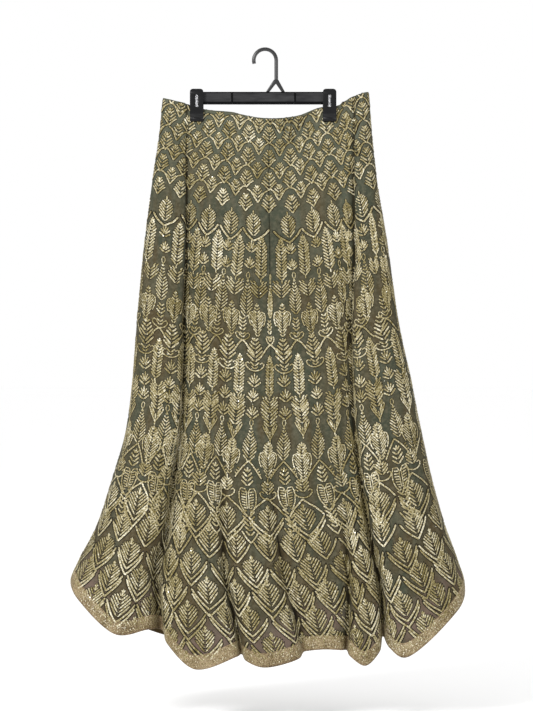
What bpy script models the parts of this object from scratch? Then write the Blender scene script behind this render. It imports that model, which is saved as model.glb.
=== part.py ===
"""A lehenga skirt that hangs from a black two-clip hanger.

The origin is the inside top of the hook, where a rail holds the hanger. +Z is up, the front
faces -Y and +X is to the right of someone who looks at the front. Lengths are in metres unless
a table says millimetres. "Down" is a distance below the origin, "forward" a distance out from
the plane midway between front and back, and "across" a share of the skirt's width from its left
side to its right one. A place along a cloth row runs from 0 at the left side seam, one whole
number for each guide line of the folds.
"""

import math
from collections import namedtuple

import bmesh
import bpy
import numpy as np

MM = 0.001
SEAM_GAP = 0.0003

# Cloth
WALL = 0.002
LINING_WALL = 0.001
CENTRE_DROP = 1.085
BORDER_HEIGHT = 0.024
BORDER_GAP = 0.0009
HEM_TURN = 0.55
NORMAL_STEP = 0.01
SKIRT_ROWS = 20
LINING_ROWS = 10
LINING_COLUMNS = 24
LINING_END = 0.955
LINING_SEAM = 0.0010
PINCH_FORWARD = 0.005
PINCH_REACH = (0.027, 0.055)
PINCH_DOWN = (0.158, 0.225)

# Hanger
ROD_RADIUS = 0.00375
HOOK_RADIUS = 0.0225
HOOK_TIP_TURN = math.radians(197)
ROOT_TOP_DOWN = 0.0575
ROOT_DEPTH = 0.0075
BAR_TOP_DOWN = 0.082
BAR_BOTTOM_DOWN = 0.107
BAR_DEPTH = 0.010
BAR_LEFT = -0.1415
BAR_RIGHT = 0.1315
BAR_RIBS = (-0.066, 0.060)
BAR_RIM = 0.0028
BAR_RECESS = 0.0018
BAR_LOWER_RIM = 0.0062
CLIP_CENTRES = {"left": -0.1365, "right": 0.1290}
CLIP_WIDTH = 0.027
SLEEVE_WIDTH = 0.014
SLEEVE_WALL = 0.0015
SLEEVE_CHEEK = 0.0027
SPRING_WIDTH = 0.006
SPRING_THICKNESS = 0.0008
SPRING_LEG_DOWN = 0.1125
WINDOW_WIDTH = 0.0072
WINDOW_TOP_DOWN = 0.0880
WINDOW_BOTTOM_DOWN = 0.1140

# The levels that the fold tables give: waist, hip, knee and hem, as shares of the way down.
LEVELS = (0.0, 0.27, 0.62, 1.0)

# Outline seen from the front, in millimetres.
Side = namedtuple("Side", "down left right")
SIDES = [
    Side(82, -201, 207),
    Side(100, -205, 209),
    Side(154, -210, 213),
    Side(250, -224, 223),
    Side(394, -242, 246),
    Side(538, -256, 266),
    Side(658, -265, 292),
    Side(754, -277, 311),
    Side(850, -304, 332),
    Side(946, -335, 359),
    Side(1018, -372, 385),
    Side(1060, -388, 398),
    Side(1085, -388, 400),
]

# How far down the hem lies at the left and the right side, in millimetres.
SIDE_HEMS = (1060, 1074)

# Waist edge, which dips between the clips: across, and millimetres down.
Edge = namedtuple("Edge", "across down")
WAIST_EDGE = [
    Edge(0.0, 94),
    Edge(0.12, 107),
    Edge(0.145, 112),
    Edge(0.30, 121),
    Edge(0.53, 135),
    Edge(0.66, 129),
    Edge(0.77, 113),
    Edge(0.84, 110.5),
    Edge(0.90, 97),
    Edge(0.93, 90),
    Edge(1.0, 82),
]

# A valley between two folds: across and forward (millimetres) at each level, and how far down
# its hem lies (millimetres).
Valley = namedtuple("Valley", "across forward hem")
# A fold that stands out between two valleys, or between a valley and a side: where its crown
# lies from its left valley to its right one, the crown's forward at each level, the distance in
# from each valley to the fold's shoulder at hip, knee and hem, and how far down the hem lies at
# the shoulders and crown. All millimetres but the first.
Fold = namedtuple("Fold", "crown_at crown left_reach right_reach hem")
Panel = namedtuple("Panel", "facing valleys folds")

FRONT = Panel(
    facing=-1,
    valleys=[
        Valley((0.12, 0.173, 0.188, 0.234), (6, 10, 26, 46), 1154),
        Valley((0.30, 0.325, 0.340, 0.434), (8.5, 24, 44, 62), 1200),
        Valley((0.52, 0.515, 0.494, 0.589), (9, 24, 46, 62), 1196),
        Valley((0.80, 0.790, 0.728, 0.698), (6, 22, 38, 52), 1193),
        Valley((0.93, 0.866, 0.776, 0.789), (6, 10, 26, 46), 1166),
    ],
    folds=[
        Fold(0.50, (7, 30, 58, 92), (8, 12, 17), (4, 7, 26), (1090, 1158, 1150)),
        Fold(0.40, (9, 26, 54, 98), (18, 16, 11), (18, 14, 10), (1178, 1226, 1203)),
        Fold(0.35, (9, 26, 52, 100), (20, 14, 9), (20, 14, 10), (1211, 1223, 1207)),
        Fold(0.50, (8, 25, 46, 72), (20, 14, 9), (20, 14, 10), (1193, 1190, 1192)),
        Fold(0.50, (6, 17, 38, 94), (9, 7, 7), (10, 7, 8), (1203, 1220, 1194)),
        Fold(0.26, (7, 30, 58, 94), (4, 7, 12), (8, 12, 17), (1186, 1204, 1112)),
    ],
)

BACK = Panel(
    facing=1,
    valleys=[
        Valley((0.15, 0.18, 0.20, 0.19), (6, 12, 28, 48), 1158),
        Valley((0.33, 0.35, 0.37, 0.36), (8.5, 22, 41, 58), 1176),
        Valley((0.50, 0.52, 0.54, 0.55), (9, 23, 43, 61), 1184),
        Valley((0.69, 0.67, 0.69, 0.71), (8.5, 22, 40, 58), 1178),
        Valley((0.85, 0.84, 0.82, 0.83), (6, 12, 28, 46), 1150),
    ],
    folds=[
        Fold(0.55, (7, 28, 54, 84), (7, 11, 17), (5, 9, 14), (1088, 1140, 1160)),
        Fold(0.45, (9, 27, 52, 94), (14, 12, 6), (14, 12, 10), (1166, 1182, 1180)),
        Fold(0.55, (9, 26, 50, 86), (14, 14, 12), (14, 12, 6), (1182, 1192, 1190)),
        Fold(0.40, (9, 26, 51, 92), (14, 12, 6), (14, 14, 12), (1190, 1192, 1182)),
        Fold(0.55, (9, 27, 52, 88), (14, 12, 10), (14, 12, 8), (1180, 1178, 1160)),
        Fold(0.45, (7, 28, 55, 86), (5, 9, 14), (7, 11, 17), (1154, 1138, 1100)),
    ],
)

# The share of the crown's height that a fold's shoulders have, and where they lie at the waist.
SHOULDER_HEIGHT = 0.70
SHOULDER_ACROSS = 0.15
GUIDES_PER_FOLD = 4
# A fold's columns, counted in guide lines from its left valley: close together in the valleys.
COLUMN_STEPS = (0, 0.3, 0.65, 1, 1.5, 2, 2.5, 3, 3.35, 3.7)
FOLDS = len(FRONT.folds)
CENTRE_SEAM_FOLD = 3
# Half of the gap at the centre seam, as a share of the way from its valley to a shoulder.
CENTRE_SEAM_SHARE = 0.015

# Lining: half its depth at each level and how far inside the skirt's sides it lies, millimetres.
LINING_FORWARD = (2.4, 5.8, 20, 37)
LINING_INSET = (9, 11, 16, 26)
LINING_SQUARENESS = 6
LINING_PINCH = 0.0018

# Colour, roughness and metallic value of each finish.
Finish = namedtuple("Finish", "colour roughness metallic")
FINISHES = {
    "net": Finish((0.125, 0.130, 0.095), 0.75, 0.0),
    "border": Finish((0.36, 0.27, 0.16), 0.55, 0.3),
    "lining": Finish((0.115, 0.130, 0.110), 0.60, 0.0),
    "plastic": Finish((0.012, 0.012, 0.013), 0.25, 0.0),
    "steel": Finish((0.62, 0.62, 0.64), 0.25, 1.0),
}


def clear_scene():
    for old in list(bpy.data.objects):
        bpy.data.objects.remove(old)


def new_collection(name):
    collection = bpy.data.collections.new(name)
    bpy.context.scene.collection.children.link(collection)
    return collection


def new_material(name):
    finish = FINISHES[name]
    material = bpy.data.materials.new(name)
    material.use_nodes = True
    material.diffuse_color = (*finish.colour, 1.0)
    shader = material.node_tree.nodes["Principled BSDF"]
    shader.inputs["Base Color"].default_value = (*finish.colour, 1.0)
    shader.inputs["Roughness"].default_value = finish.roughness
    shader.inputs["Metallic"].default_value = finish.metallic
    return material


def add_object(name, data, collection, material=None):
    obj = bpy.data.objects.new(name, data)
    collection.objects.link(obj)
    if material:
        data.materials.append(material)
    return obj


def mix(a, b, share):
    return a + (b - a) * share


def ease(value):
    """0 below 0, 1 above 1 and a smooth step between."""
    value = np.clip(value, 0, 1)
    return value * value * (3 - 2 * value)


def through(known, values, at):
    """A smooth curve through a table's values, which doesn't overshoot between them."""
    known = np.asarray(known, float)
    values = np.asarray(values, float)
    run = np.diff(known)
    rise = np.diff(values) / run
    slope = np.concatenate([rise[:1], np.zeros(len(run) - 1), rise[-1:]])
    for i in range(1, len(run)):
        if rise[i - 1] * rise[i] > 0:
            before = run[i - 1] + 2 * run[i]
            after = 2 * run[i - 1] + run[i]
            slope[i] = (before + after) / (before / rise[i - 1] + after / rise[i])
    at = np.clip(at, known[0], known[-1])
    i = np.clip(np.searchsorted(known, at, side="right") - 1, 0, len(run) - 1)
    u = (at - known[i]) / run[i]
    steep = (u**3 - 2 * u**2 + u) * slope[i] + (u**3 - u**2) * slope[i + 1]
    return mix(values[i], values[i + 1], ease(u)) + run[i] * steep


def outline(side, down):
    """The skirt's outline seen from the front: side is "left" or "right"."""
    known = [row.down * MM for row in SIDES]
    return through(known, [getattr(row, side) * MM for row in SIDES], down)


def waist_down(across):
    return through([e.across for e in WAIST_EDGE], [e.down * MM for e in WAIST_EDGE], across)


def down_at(v, across_at_waist, hem):
    """How far down a line of the cloth has come at the share v of its length.

    The rows lie parallel to the waist at first, and turn to follow the hem lower down.
    """
    top = waist_down(across_at_waist)
    turn = ease((v - HEM_TURN) / (1 - HEM_TURN))
    return top + CENTRE_DROP * v + (hem - top - CENTRE_DROP) * turn


def at_level(values, v):
    return float(through(LEVELS, np.array(values) * MM, v))


def reach_at(reach, v):
    """A shoulder's distance in from its valley or side. The waist has the hip's."""
    return at_level((reach[0], *reach), v)


def valley_lines(panel, v):
    """x, forward and down of the sides and valleys at v, and their places across the waist."""
    lines = []
    marks = [(0.0, 0.0, SIDE_HEMS[0] * MM)]
    for valley in panel.valleys:
        across = float(through(LEVELS, valley.across, v))
        marks.append((across, at_level(valley.forward, v), valley.hem * MM))
    marks.append((1.0, 0.0, SIDE_HEMS[1] * MM))
    waists = [0.0, *(valley.across[0] for valley in panel.valleys), 1.0]
    for (across, forward, hem), waist in zip(marks, waists):
        down = float(down_at(v, waist, hem))
        x = mix(float(outline("left", down)), float(outline("right", down)), across)
        lines.append((x, forward, down))
    return lines, waists


def guide_lines(panel, v):
    """The points that a row of the cloth runs through at v: side, shoulder, crown, shoulder,
    valley, and so on to the other side. Each is x, forward and down."""
    ends, waists = valley_lines(panel, v)
    points = [ends[0]]
    for i, fold in enumerate(panel.folds):
        (left_x, left_forward, _), (right_x, right_forward, _) = ends[i], ends[i + 1]
        crown = at_level(fold.crown, v)
        spots = [
            (left_x + reach_at(fold.left_reach, v), left_forward, SHOULDER_ACROSS),
            (mix(left_x, right_x, fold.crown_at), crown, fold.crown_at),
            (right_x - reach_at(fold.right_reach, v), right_forward, 1 - SHOULDER_ACROSS),
        ]
        for (x, foot, share), hem in zip(spots, fold.hem):
            waist = mix(waists[i], waists[i + 1], share)
            forward = mix(foot, crown, SHOULDER_HEIGHT)
            if share == fold.crown_at:
                forward = crown
            points.append((x, forward, float(down_at(v, waist, hem * MM))))
        points.append(ends[i + 1])
    return np.array(points)


def row_curve(points, places):
    """A smooth curve through a row's guide points, square to the side plane at both sides."""
    mirror = np.array([1, -1, 1])
    ahead = np.vstack([points[1] * mirror, points, points[-2] * mirror])
    step = np.sqrt(np.linalg.norm(np.diff(ahead[:, :2], axis=0), axis=1))[:, None]
    slope = np.diff(ahead, axis=0) / step
    tangent = slope[:-1] + slope[1:] - (ahead[2:] - ahead[:-2]) / (step[:-1] + step[1:])
    i = np.minimum(places.astype(int), len(points) - 2)
    u = (places - i)[:, None]
    span = step[1:-1][i]
    steep = (u**3 - 2 * u**2 + u) * tangent[i] + (u**3 - u**2) * tangent[i + 1]
    return mix(points[i], points[i + 1], ease(u)) + span * steep


def pinched(x, forward, down, limit):
    """Forward, drawn in to the limit where a clip's jaws press the cloth."""
    for centre in CLIP_CENTRES.values():
        near = 1 - ease((abs(x - centre) - PINCH_REACH[0]) / (PINCH_REACH[1] - PINCH_REACH[0]))
        high = 1 - ease((down - PINCH_DOWN[0]) / (PINCH_DOWN[1] - PINCH_DOWN[0]))
        forward = mix(forward, np.minimum(forward, limit), near * high)
    return forward


def skirt_row(panel, v, places):
    """World points of the skirt's outer face at v."""
    x, forward, down = row_curve(guide_lines(panel, v), places).T
    forward = pinched(x, forward, down, PINCH_FORWARD - SEAM_GAP) + SEAM_GAP
    return np.column_stack([x, panel.facing * forward, -down])


def lining_row(panel, v, across):
    """World points of the lining's outer face at v."""
    waists = [0.0, *(valley.across[0] for valley in panel.valleys), 1.0]
    hems = [SIDE_HEMS[0], *(valley.hem for valley in panel.valleys), SIDE_HEMS[1]]
    hem = through(waists, np.array(hems) * MM, across)
    down = down_at(v, across, hem)
    inset = at_level(LINING_INSET, v)
    left = outline("left", down) + inset
    right = outline("right", down) - inset
    full = (1 - abs(2 * across - 1) ** LINING_SQUARENESS) ** 0.5
    x = mix(left, right, across)
    forward = pinched(x, at_level(LINING_FORWARD, v) * full, down, LINING_PINCH - LINING_SEAM)
    return np.column_stack([x, panel.facing * (forward + LINING_SEAM), -down])


def fold_places(first_fold, last_fold):
    """Places along a row for a panel's columns, closest together by the valleys and sides."""
    starts = range(first_fold * GUIDES_PER_FOLD, last_fold * GUIDES_PER_FOLD, GUIDES_PER_FOLD)
    places = [start + step for start in starts for step in COLUMN_STEPS]
    return np.array([*places, last_fold * GUIDES_PER_FOLD])


def unit(vectors):
    return vectors / np.linalg.norm(vectors, axis=1)[:, None]


def along_row(row, v, places):
    """Unit vectors along a row from left to right."""
    after = row(v, np.minimum(places + NORMAL_STEP, places.max()))
    return unit(after - row(v, np.maximum(places - NORMAL_STEP, 0)))


def out_of_front(row, v, places):
    """Unit vectors square to a row's face, which point to the front on both panels."""
    downward = row(min(v + NORMAL_STEP, 1), places) - row(max(v - NORMAL_STEP, 0), places)
    return unit(np.cross(downward, along_row(row, v, places)))


def cloth_wall(name, row, facing, places, levels, thickness, collection, material, seam=0.0):
    """A wall of cloth: a grid moved onto the cloth's outer face, then extruded into the cloth.

    The grid's columns run from left to right as its outer face is seen, which is from right to
    left on the back. Its last row lies the seam's gap above the one that it is sewn to.
    """
    columns = len(places) - 1
    rows = len(levels) - 1
    outer = np.array([row(v, places) for v in levels])
    square = np.array([out_of_front(row, v, places) for v in levels])
    inner = outer + facing * thickness * square
    gap = seam * np.cross(along_row(row, levels[-1], places), -square[-1])
    outer[-1] += gap
    inner[-1] += gap
    mesh = bpy.data.meshes.new(name)
    bm = bmesh.new()
    bmesh.ops.create_grid(bm, x_segments=columns, y_segments=rows, size=0.5)
    extruded = bmesh.ops.extrude_face_region(bm, geom=bm.faces[:])["geom"]
    outside = {item for item in extruded if isinstance(item, bmesh.types.BMVert)}
    for vert in bm.verts:
        column = round((0.5 - facing * vert.co.x) * columns)
        level = round((0.5 - vert.co.y) * rows)
        vert.co = (outer if vert in outside else inner)[level][column]
    bmesh.ops.recalc_face_normals(bm, faces=bm.faces)
    bm.to_mesh(mesh)
    bm.free()
    mesh.shade_smooth()
    mesh.set_sharp_from_angle(angle=math.radians(50))
    add_object(name, mesh, collection, material)


def build_skirt(collection, net, border, lining):
    """The net skirt in three panels, its border in two and its lining in two."""
    border_top = 1 - BORDER_HEIGHT / CENTRE_DROP
    left_places = fold_places(0, CENTRE_SEAM_FOLD)
    left_places[-1] -= CENTRE_SEAM_SHARE
    right_places = fold_places(CENTRE_SEAM_FOLD, FOLDS)
    right_places[0] += CENTRE_SEAM_SHARE
    net_panels = [
        ("skirt_front_left", FRONT, left_places),
        ("skirt_front_right", FRONT, right_places),
        ("skirt_back", BACK, fold_places(0, FOLDS)),
    ]
    for name, panel, places in net_panels:
        cloth_wall(
            name,
            lambda v, p, panel=panel: skirt_row(panel, v, p),
            panel.facing,
            places,
            np.linspace(0, border_top, SKIRT_ROWS + 1),
            WALL,
            collection,
            net,
            BORDER_GAP,
        )
    for side, panel in (("front", FRONT), ("back", BACK)):
        cloth_wall(
            "hem_border_" + side,
            lambda v, p, panel=panel: skirt_row(panel, v, p),
            panel.facing,
            fold_places(0, FOLDS),
            (border_top, 1),
            WALL,
            collection,
            border,
        )
        cloth_wall(
            "lining_" + side,
            lambda v, p, panel=panel: lining_row(panel, v, p),
            panel.facing,
            (1 - np.cos(np.linspace(0, math.pi, LINING_COLUMNS + 1))) / 2,
            np.linspace(0.006, LINING_END, LINING_ROWS + 1),
            LINING_WALL,
            collection,
            lining,
        )


def outline_object(name, loop, thickness, collection, material):
    """A flat closed outline, filled and extruded by half its thickness to each side of its plane."""
    curve = bpy.data.curves.new(name, "CURVE")
    curve.dimensions = "2D"
    curve.fill_mode = "BOTH"
    curve.extrude = thickness / 2
    spline = curve.splines.new("POLY")
    spline.points.add(len(loop) - 1)
    for point, (x, y) in zip(spline.points, loop):
        point.co = (x, y, 0, 1)
    spline.use_cyclic_u = True
    return add_object(name, curve, collection, material)


def stand_in_xz(obj, y=0.0):
    """Turns an outline drawn as x and z so that it stands up, with its thickness along Y."""
    obj.rotation_euler = (math.pi / 2, 0, 0)
    obj.location = (0, y, 0)


def stand_in_yz(obj, x):
    """Turns an outline drawn as y and z so that it stands up, with its thickness along X."""
    obj.rotation_euler = (math.pi / 2, 0, math.pi / 2)
    obj.location = (x, 0, 0)


def to_mesh_object(obj):
    """The same object as a mesh with its caps welded, so that Booleans can use it."""
    graph = bpy.context.evaluated_depsgraph_get()
    mesh = bpy.data.meshes.new_from_object(obj.evaluated_get(graph))
    bm = bmesh.new()
    bm.from_mesh(mesh)
    bmesh.ops.remove_doubles(bm, verts=bm.verts, dist=1e-6)
    bmesh.ops.recalc_face_normals(bm, faces=bm.faces)
    bm.to_mesh(mesh)
    bm.free()
    name = obj.name
    collection = obj.users_collection[0]
    matrix = obj.matrix_world.copy()
    bpy.data.objects.remove(obj)
    made = add_object(name, mesh, collection)
    made.matrix_world = matrix
    return made


def box_object(name, low, high, collection, material=None):
    mesh = bpy.data.meshes.new(name)
    bm = bmesh.new()
    bmesh.ops.create_cube(bm, size=1.0)
    for vert in bm.verts:
        vert.co = [mix(low[i], high[i], vert.co[i] + 0.5) for i in range(3)]
    bm.to_mesh(mesh)
    bm.free()
    return add_object(name, mesh, collection, material)


def as_cutter(obj):
    obj.hide_render = True
    obj.display_type = "WIRE"
    return obj


def cut(obj, cutter):
    modifier = obj.modifiers.new("cut " + cutter.name, "BOOLEAN")
    modifier.operation = "DIFFERENCE"
    modifier.object = cutter


def build_hook(collection, plastic):
    """The rod: over the rail from its tip and down to the root."""
    centre = ROD_RADIUS - HOOK_RADIUS
    curve = bpy.data.curves.new("hanger_hook", "CURVE")
    curve.dimensions = "3D"
    curve.bevel_depth = ROD_RADIUS
    curve.bevel_resolution = 2
    curve.use_fill_caps = True
    turns = np.linspace(HOOK_TIP_TURN, 0, 18)
    points = [(HOOK_RADIUS * math.cos(a), 0, centre + HOOK_RADIUS * math.sin(a)) for a in turns]
    points.append((HOOK_RADIUS, 0, -ROOT_TOP_DOWN + SEAM_GAP))
    spline = curve.splines.new("POLY")
    spline.points.add(len(points) - 1)
    for point, place in zip(spline.points, points):
        point.co = (*place, 1)
    add_object("hanger_hook", curve, collection, plastic)


def build_root(collection, plastic):
    """The two legs that join the rod to the bar, as one inverted V."""
    foot = -BAR_TOP_DOWN + SEAM_GAP
    centre = HOOK_RADIUS - 0.0008
    loop = [
        (centre - 0.0040, -ROOT_TOP_DOWN),
        (centre - 0.0198, foot),
        (centre - 0.0128, foot),
        (centre, -0.0655),
        (centre + 0.0112, foot),
        (centre + 0.0182, foot),
        (centre + 0.0048, -ROOT_TOP_DOWN),
    ]
    root = outline_object("hanger_root", loop, ROOT_DEPTH, collection, plastic)
    stand_in_xz(root)


def build_bar(collection, plastic):
    """The bar, with three shallow panels between its rims on the front and on the back."""
    low = (BAR_LEFT, -BAR_DEPTH / 2, -BAR_BOTTOM_DOWN)
    high = (BAR_RIGHT, BAR_DEPTH / 2, -BAR_TOP_DOWN)
    bar = box_object("hanger_bar", low, high, collection, plastic)
    rim_top = -BAR_BOTTOM_DOWN + BAR_LOWER_RIM - BAR_RIM
    cuts = [((x, 0, 0), (1, 0, 0)) for x in BAR_RIBS] + [((0, 0, rim_top), (0, 0, 1))]
    bm = bmesh.new()
    bm.from_mesh(bar.data)
    for place, normal in cuts:
        everything = bm.verts[:] + bm.edges[:] + bm.faces[:]
        bmesh.ops.bisect_plane(bm, geom=everything, plane_co=place, plane_no=normal)
    faces = [
        face
        for face in bm.faces
        if abs(face.normal.y) > 0.9 and face.calc_center_median().z > rim_top
    ]
    bmesh.ops.inset_individual(bm, faces=faces, thickness=BAR_RIM, depth=0)
    for face in faces:
        bmesh.ops.translate(bm, verts=face.verts, vec=-face.normal * BAR_RECESS)
    bm.to_mesh(bar.data)
    bm.free()


def jaw_profile():
    """Forward and height of a jaw's outline: it lies on the sleeve above and on the cloth below."""
    on_sleeve = BAR_DEPTH / 2 + SEAM_GAP + SLEEVE_CHEEK + SEAM_GAP
    on_cloth = PINCH_FORWARD + SEAM_GAP
    return [
        (on_sleeve, -0.0770),
        (on_sleeve + 0.0016, -0.0762),
        (on_sleeve + 0.0036, -0.0782),
        (on_sleeve + 0.0046, -0.0850),
        (on_sleeve + 0.0046, -0.1050),
        (on_sleeve + 0.0036, -0.1250),
        (on_sleeve + 0.0006, -0.1400),
        (on_cloth + 0.0012, -0.1420),
        (on_cloth, -0.1410),
        (on_cloth, -0.1185),
        (on_sleeve, -0.1120),
    ]


def build_jaw(name, centre, facing, collection, cutters, plastic):
    profile = [(facing * forward, z) for forward, z in jaw_profile()]
    jaw = outline_object(name, profile, CLIP_WIDTH, collection, plastic)
    stand_in_yz(jaw, centre)
    jaw = to_mesh_object(jaw)
    inner = jaw_profile()[0][0]
    pocket = [
        (inner - 0.002, -0.0740),
        (inner + SPRING_THICKNESS + SEAM_GAP, -0.0740),
        (inner + SPRING_THICKNESS + SEAM_GAP, -WINDOW_TOP_DOWN),
        (inner + 0.010, -WINDOW_TOP_DOWN),
        (inner + 0.010, -WINDOW_BOTTOM_DOWN),
        (inner - 0.002, -WINDOW_BOTTOM_DOWN),
    ]
    loop = [(facing * forward, z) for forward, z in pocket]
    window = outline_object(name + "_window", loop, WINDOW_WIDTH, cutters, None)
    stand_in_yz(window, centre)
    cut(jaw, as_cutter(to_mesh_object(window)))


def build_clip(side, centre, collection, cutters, plastic, steel):
    """One clip: a sleeve that slides on the bar, two jaws and the spring that closes them."""
    name = "clip_" + side
    half_bar = BAR_DEPTH / 2
    half_sleeve = half_bar + SEAM_GAP + SLEEVE_CHEEK
    hole_low = (centre - SLEEVE_WIDTH, -half_bar - SEAM_GAP, -BAR_BOTTOM_DOWN - SEAM_GAP)
    hole_high = (centre + SLEEVE_WIDTH, half_bar + SEAM_GAP, -BAR_TOP_DOWN + SEAM_GAP)
    sleeve_top = -BAR_TOP_DOWN + SEAM_GAP + SLEEVE_WALL
    sleeve = box_object(
        name + "_sleeve",
        (centre - SLEEVE_WIDTH / 2, -half_sleeve, -BAR_BOTTOM_DOWN - SEAM_GAP - SLEEVE_WALL),
        (centre + SLEEVE_WIDTH / 2, half_sleeve, sleeve_top),
        collection,
        plastic,
    )
    hole = box_object(name + "_sleeve_hole", hole_low, hole_high, cutters)
    cut(sleeve, as_cutter(hole))
    build_jaw(name + "_front_jaw", centre, -1, collection, cutters, plastic)
    build_jaw(name + "_back_jaw", centre, 1, collection, cutters, plastic)
    inner = half_sleeve + SEAM_GAP
    outer = inner + SPRING_THICKNESS
    under = sleeve_top + SEAM_GAP
    over = under + SPRING_THICKNESS
    loop = [
        (-inner, -SPRING_LEG_DOWN),
        (-inner, under),
        (inner, under),
        (inner, -SPRING_LEG_DOWN),
        (outer, -SPRING_LEG_DOWN),
        (outer, over - 0.0006),
        (outer - 0.0006, over),
        (0.0006 - outer, over),
        (-outer, over - 0.0006),
        (-outer, -SPRING_LEG_DOWN),
    ]
    spring = outline_object(name + "_spring", loop, SPRING_WIDTH, collection, steel)
    stand_in_yz(spring, centre)


def main():
    clear_scene()
    collection = new_collection("lehenga_on_clip_hanger")
    cutters = new_collection("cutters")
    net, border, lining, plastic, steel = (new_material(name) for name in FINISHES)
    build_skirt(collection, net, border, lining)
    build_hook(collection, plastic)
    build_root(collection, plastic)
    build_bar(collection, plastic)
    for side, centre in CLIP_CENTRES.items():
        build_clip(side, centre, collection, cutters, plastic, steel)


main()
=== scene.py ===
"""The looks of a lehenga skirt that hangs from a black two-clip hanger.

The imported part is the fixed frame, with its origin at the inside top of the hook, +Z up and the
skirt's front towards -Y. The cloth's tables repeat those of the part's source, in millimetres.
The embroidery is charted in steps of 2 mm: u runs to the right of a motif's middle line and w
down from its top. On the cloth a place is "across", from -1 at the left side to 1 at the right
one as the front is seen, and "drop", the way down the cloth from the waist edge.
"""

import math
import random
from collections import namedtuple

import bmesh
import bpy
import numpy as np
from mathutils import Matrix, Vector


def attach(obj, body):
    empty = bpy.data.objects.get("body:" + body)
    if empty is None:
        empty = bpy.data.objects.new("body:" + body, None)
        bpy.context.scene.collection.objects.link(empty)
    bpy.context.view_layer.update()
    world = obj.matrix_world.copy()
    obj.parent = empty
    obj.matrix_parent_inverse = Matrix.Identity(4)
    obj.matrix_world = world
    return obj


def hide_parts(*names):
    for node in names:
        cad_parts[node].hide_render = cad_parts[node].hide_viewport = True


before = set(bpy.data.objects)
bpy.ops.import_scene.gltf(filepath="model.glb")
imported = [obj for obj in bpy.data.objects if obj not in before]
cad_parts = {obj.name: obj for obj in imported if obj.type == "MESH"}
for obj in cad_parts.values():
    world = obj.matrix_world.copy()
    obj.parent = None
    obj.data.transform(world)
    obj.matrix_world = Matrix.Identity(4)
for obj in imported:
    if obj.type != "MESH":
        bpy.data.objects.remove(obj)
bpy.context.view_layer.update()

MM = 0.001
STEP = 0.002
ROOT = "root"
rng = random.Random(20)

# The skirt's shape, as in the part's source
CENTRE_DROP = 1.085
BORDER_HEIGHT = 0.024
HEM_TURN = 0.55
SEAM_GAP = 0.0003
LEVELS = (0.0, 0.27, 0.62, 1.0)
PINCH_FORWARD = 0.005
PINCH_REACH = (0.027, 0.055)
PINCH_DOWN = (0.158, 0.225)
CLIP_CENTRES = (-0.1365, 0.1290)
SHOULDER_HEIGHT = 0.70
SHOULDER_ACROSS = 0.15
GUIDES_PER_FOLD = 4
FOLDS = 6
CENTRE_SEAM_PLACE = 12
LINING_END = 0.955
LINING_FORWARD = (2.4, 5.8, 20, 37)
LINING_INSET = (9, 11, 16, 26)
LINING_SQUARENESS = 6
LINING_PINCH = 0.0018
LINING_SEAM = 0.0010

Side = namedtuple("Side", "down left right")
SIDES = [
    Side(82, -201, 207),
    Side(100, -205, 209),
    Side(154, -210, 213),
    Side(250, -224, 223),
    Side(394, -242, 246),
    Side(538, -256, 266),
    Side(658, -265, 292),
    Side(754, -277, 311),
    Side(850, -304, 332),
    Side(946, -335, 359),
    Side(1018, -372, 385),
    Side(1060, -388, 398),
    Side(1085, -388, 400),
]
SIDE_HEMS = (1060, 1074)

Edge = namedtuple("Edge", "across down")
WAIST_EDGE = [
    Edge(0.0, 94),
    Edge(0.12, 107),
    Edge(0.145, 112),
    Edge(0.30, 121),
    Edge(0.53, 135),
    Edge(0.66, 129),
    Edge(0.77, 113),
    Edge(0.84, 110.5),
    Edge(0.90, 97),
    Edge(0.93, 90),
    Edge(1.0, 82),
]

Valley = namedtuple("Valley", "across forward hem")
Fold = namedtuple("Fold", "crown_at crown left_reach right_reach hem")
Panel = namedtuple("Panel", "facing valleys folds")

FRONT = Panel(
    facing=-1,
    valleys=[
        Valley((0.12, 0.173, 0.188, 0.234), (6, 10, 26, 46), 1154),
        Valley((0.30, 0.325, 0.340, 0.434), (8.5, 24, 44, 62), 1200),
        Valley((0.52, 0.515, 0.494, 0.589), (9, 24, 46, 62), 1196),
        Valley((0.80, 0.790, 0.728, 0.698), (6, 22, 38, 52), 1193),
        Valley((0.93, 0.866, 0.776, 0.789), (6, 10, 26, 46), 1166),
    ],
    folds=[
        Fold(0.50, (7, 30, 58, 92), (8, 12, 17), (4, 7, 26), (1090, 1158, 1150)),
        Fold(0.40, (9, 26, 54, 98), (18, 16, 11), (18, 14, 10), (1178, 1226, 1203)),
        Fold(0.35, (9, 26, 52, 100), (20, 14, 9), (20, 14, 10), (1211, 1223, 1207)),
        Fold(0.50, (8, 25, 46, 72), (20, 14, 9), (20, 14, 10), (1193, 1190, 1192)),
        Fold(0.50, (6, 17, 38, 94), (9, 7, 7), (10, 7, 8), (1203, 1220, 1194)),
        Fold(0.26, (7, 30, 58, 94), (4, 7, 12), (8, 12, 17), (1186, 1204, 1112)),
    ],
)

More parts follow.
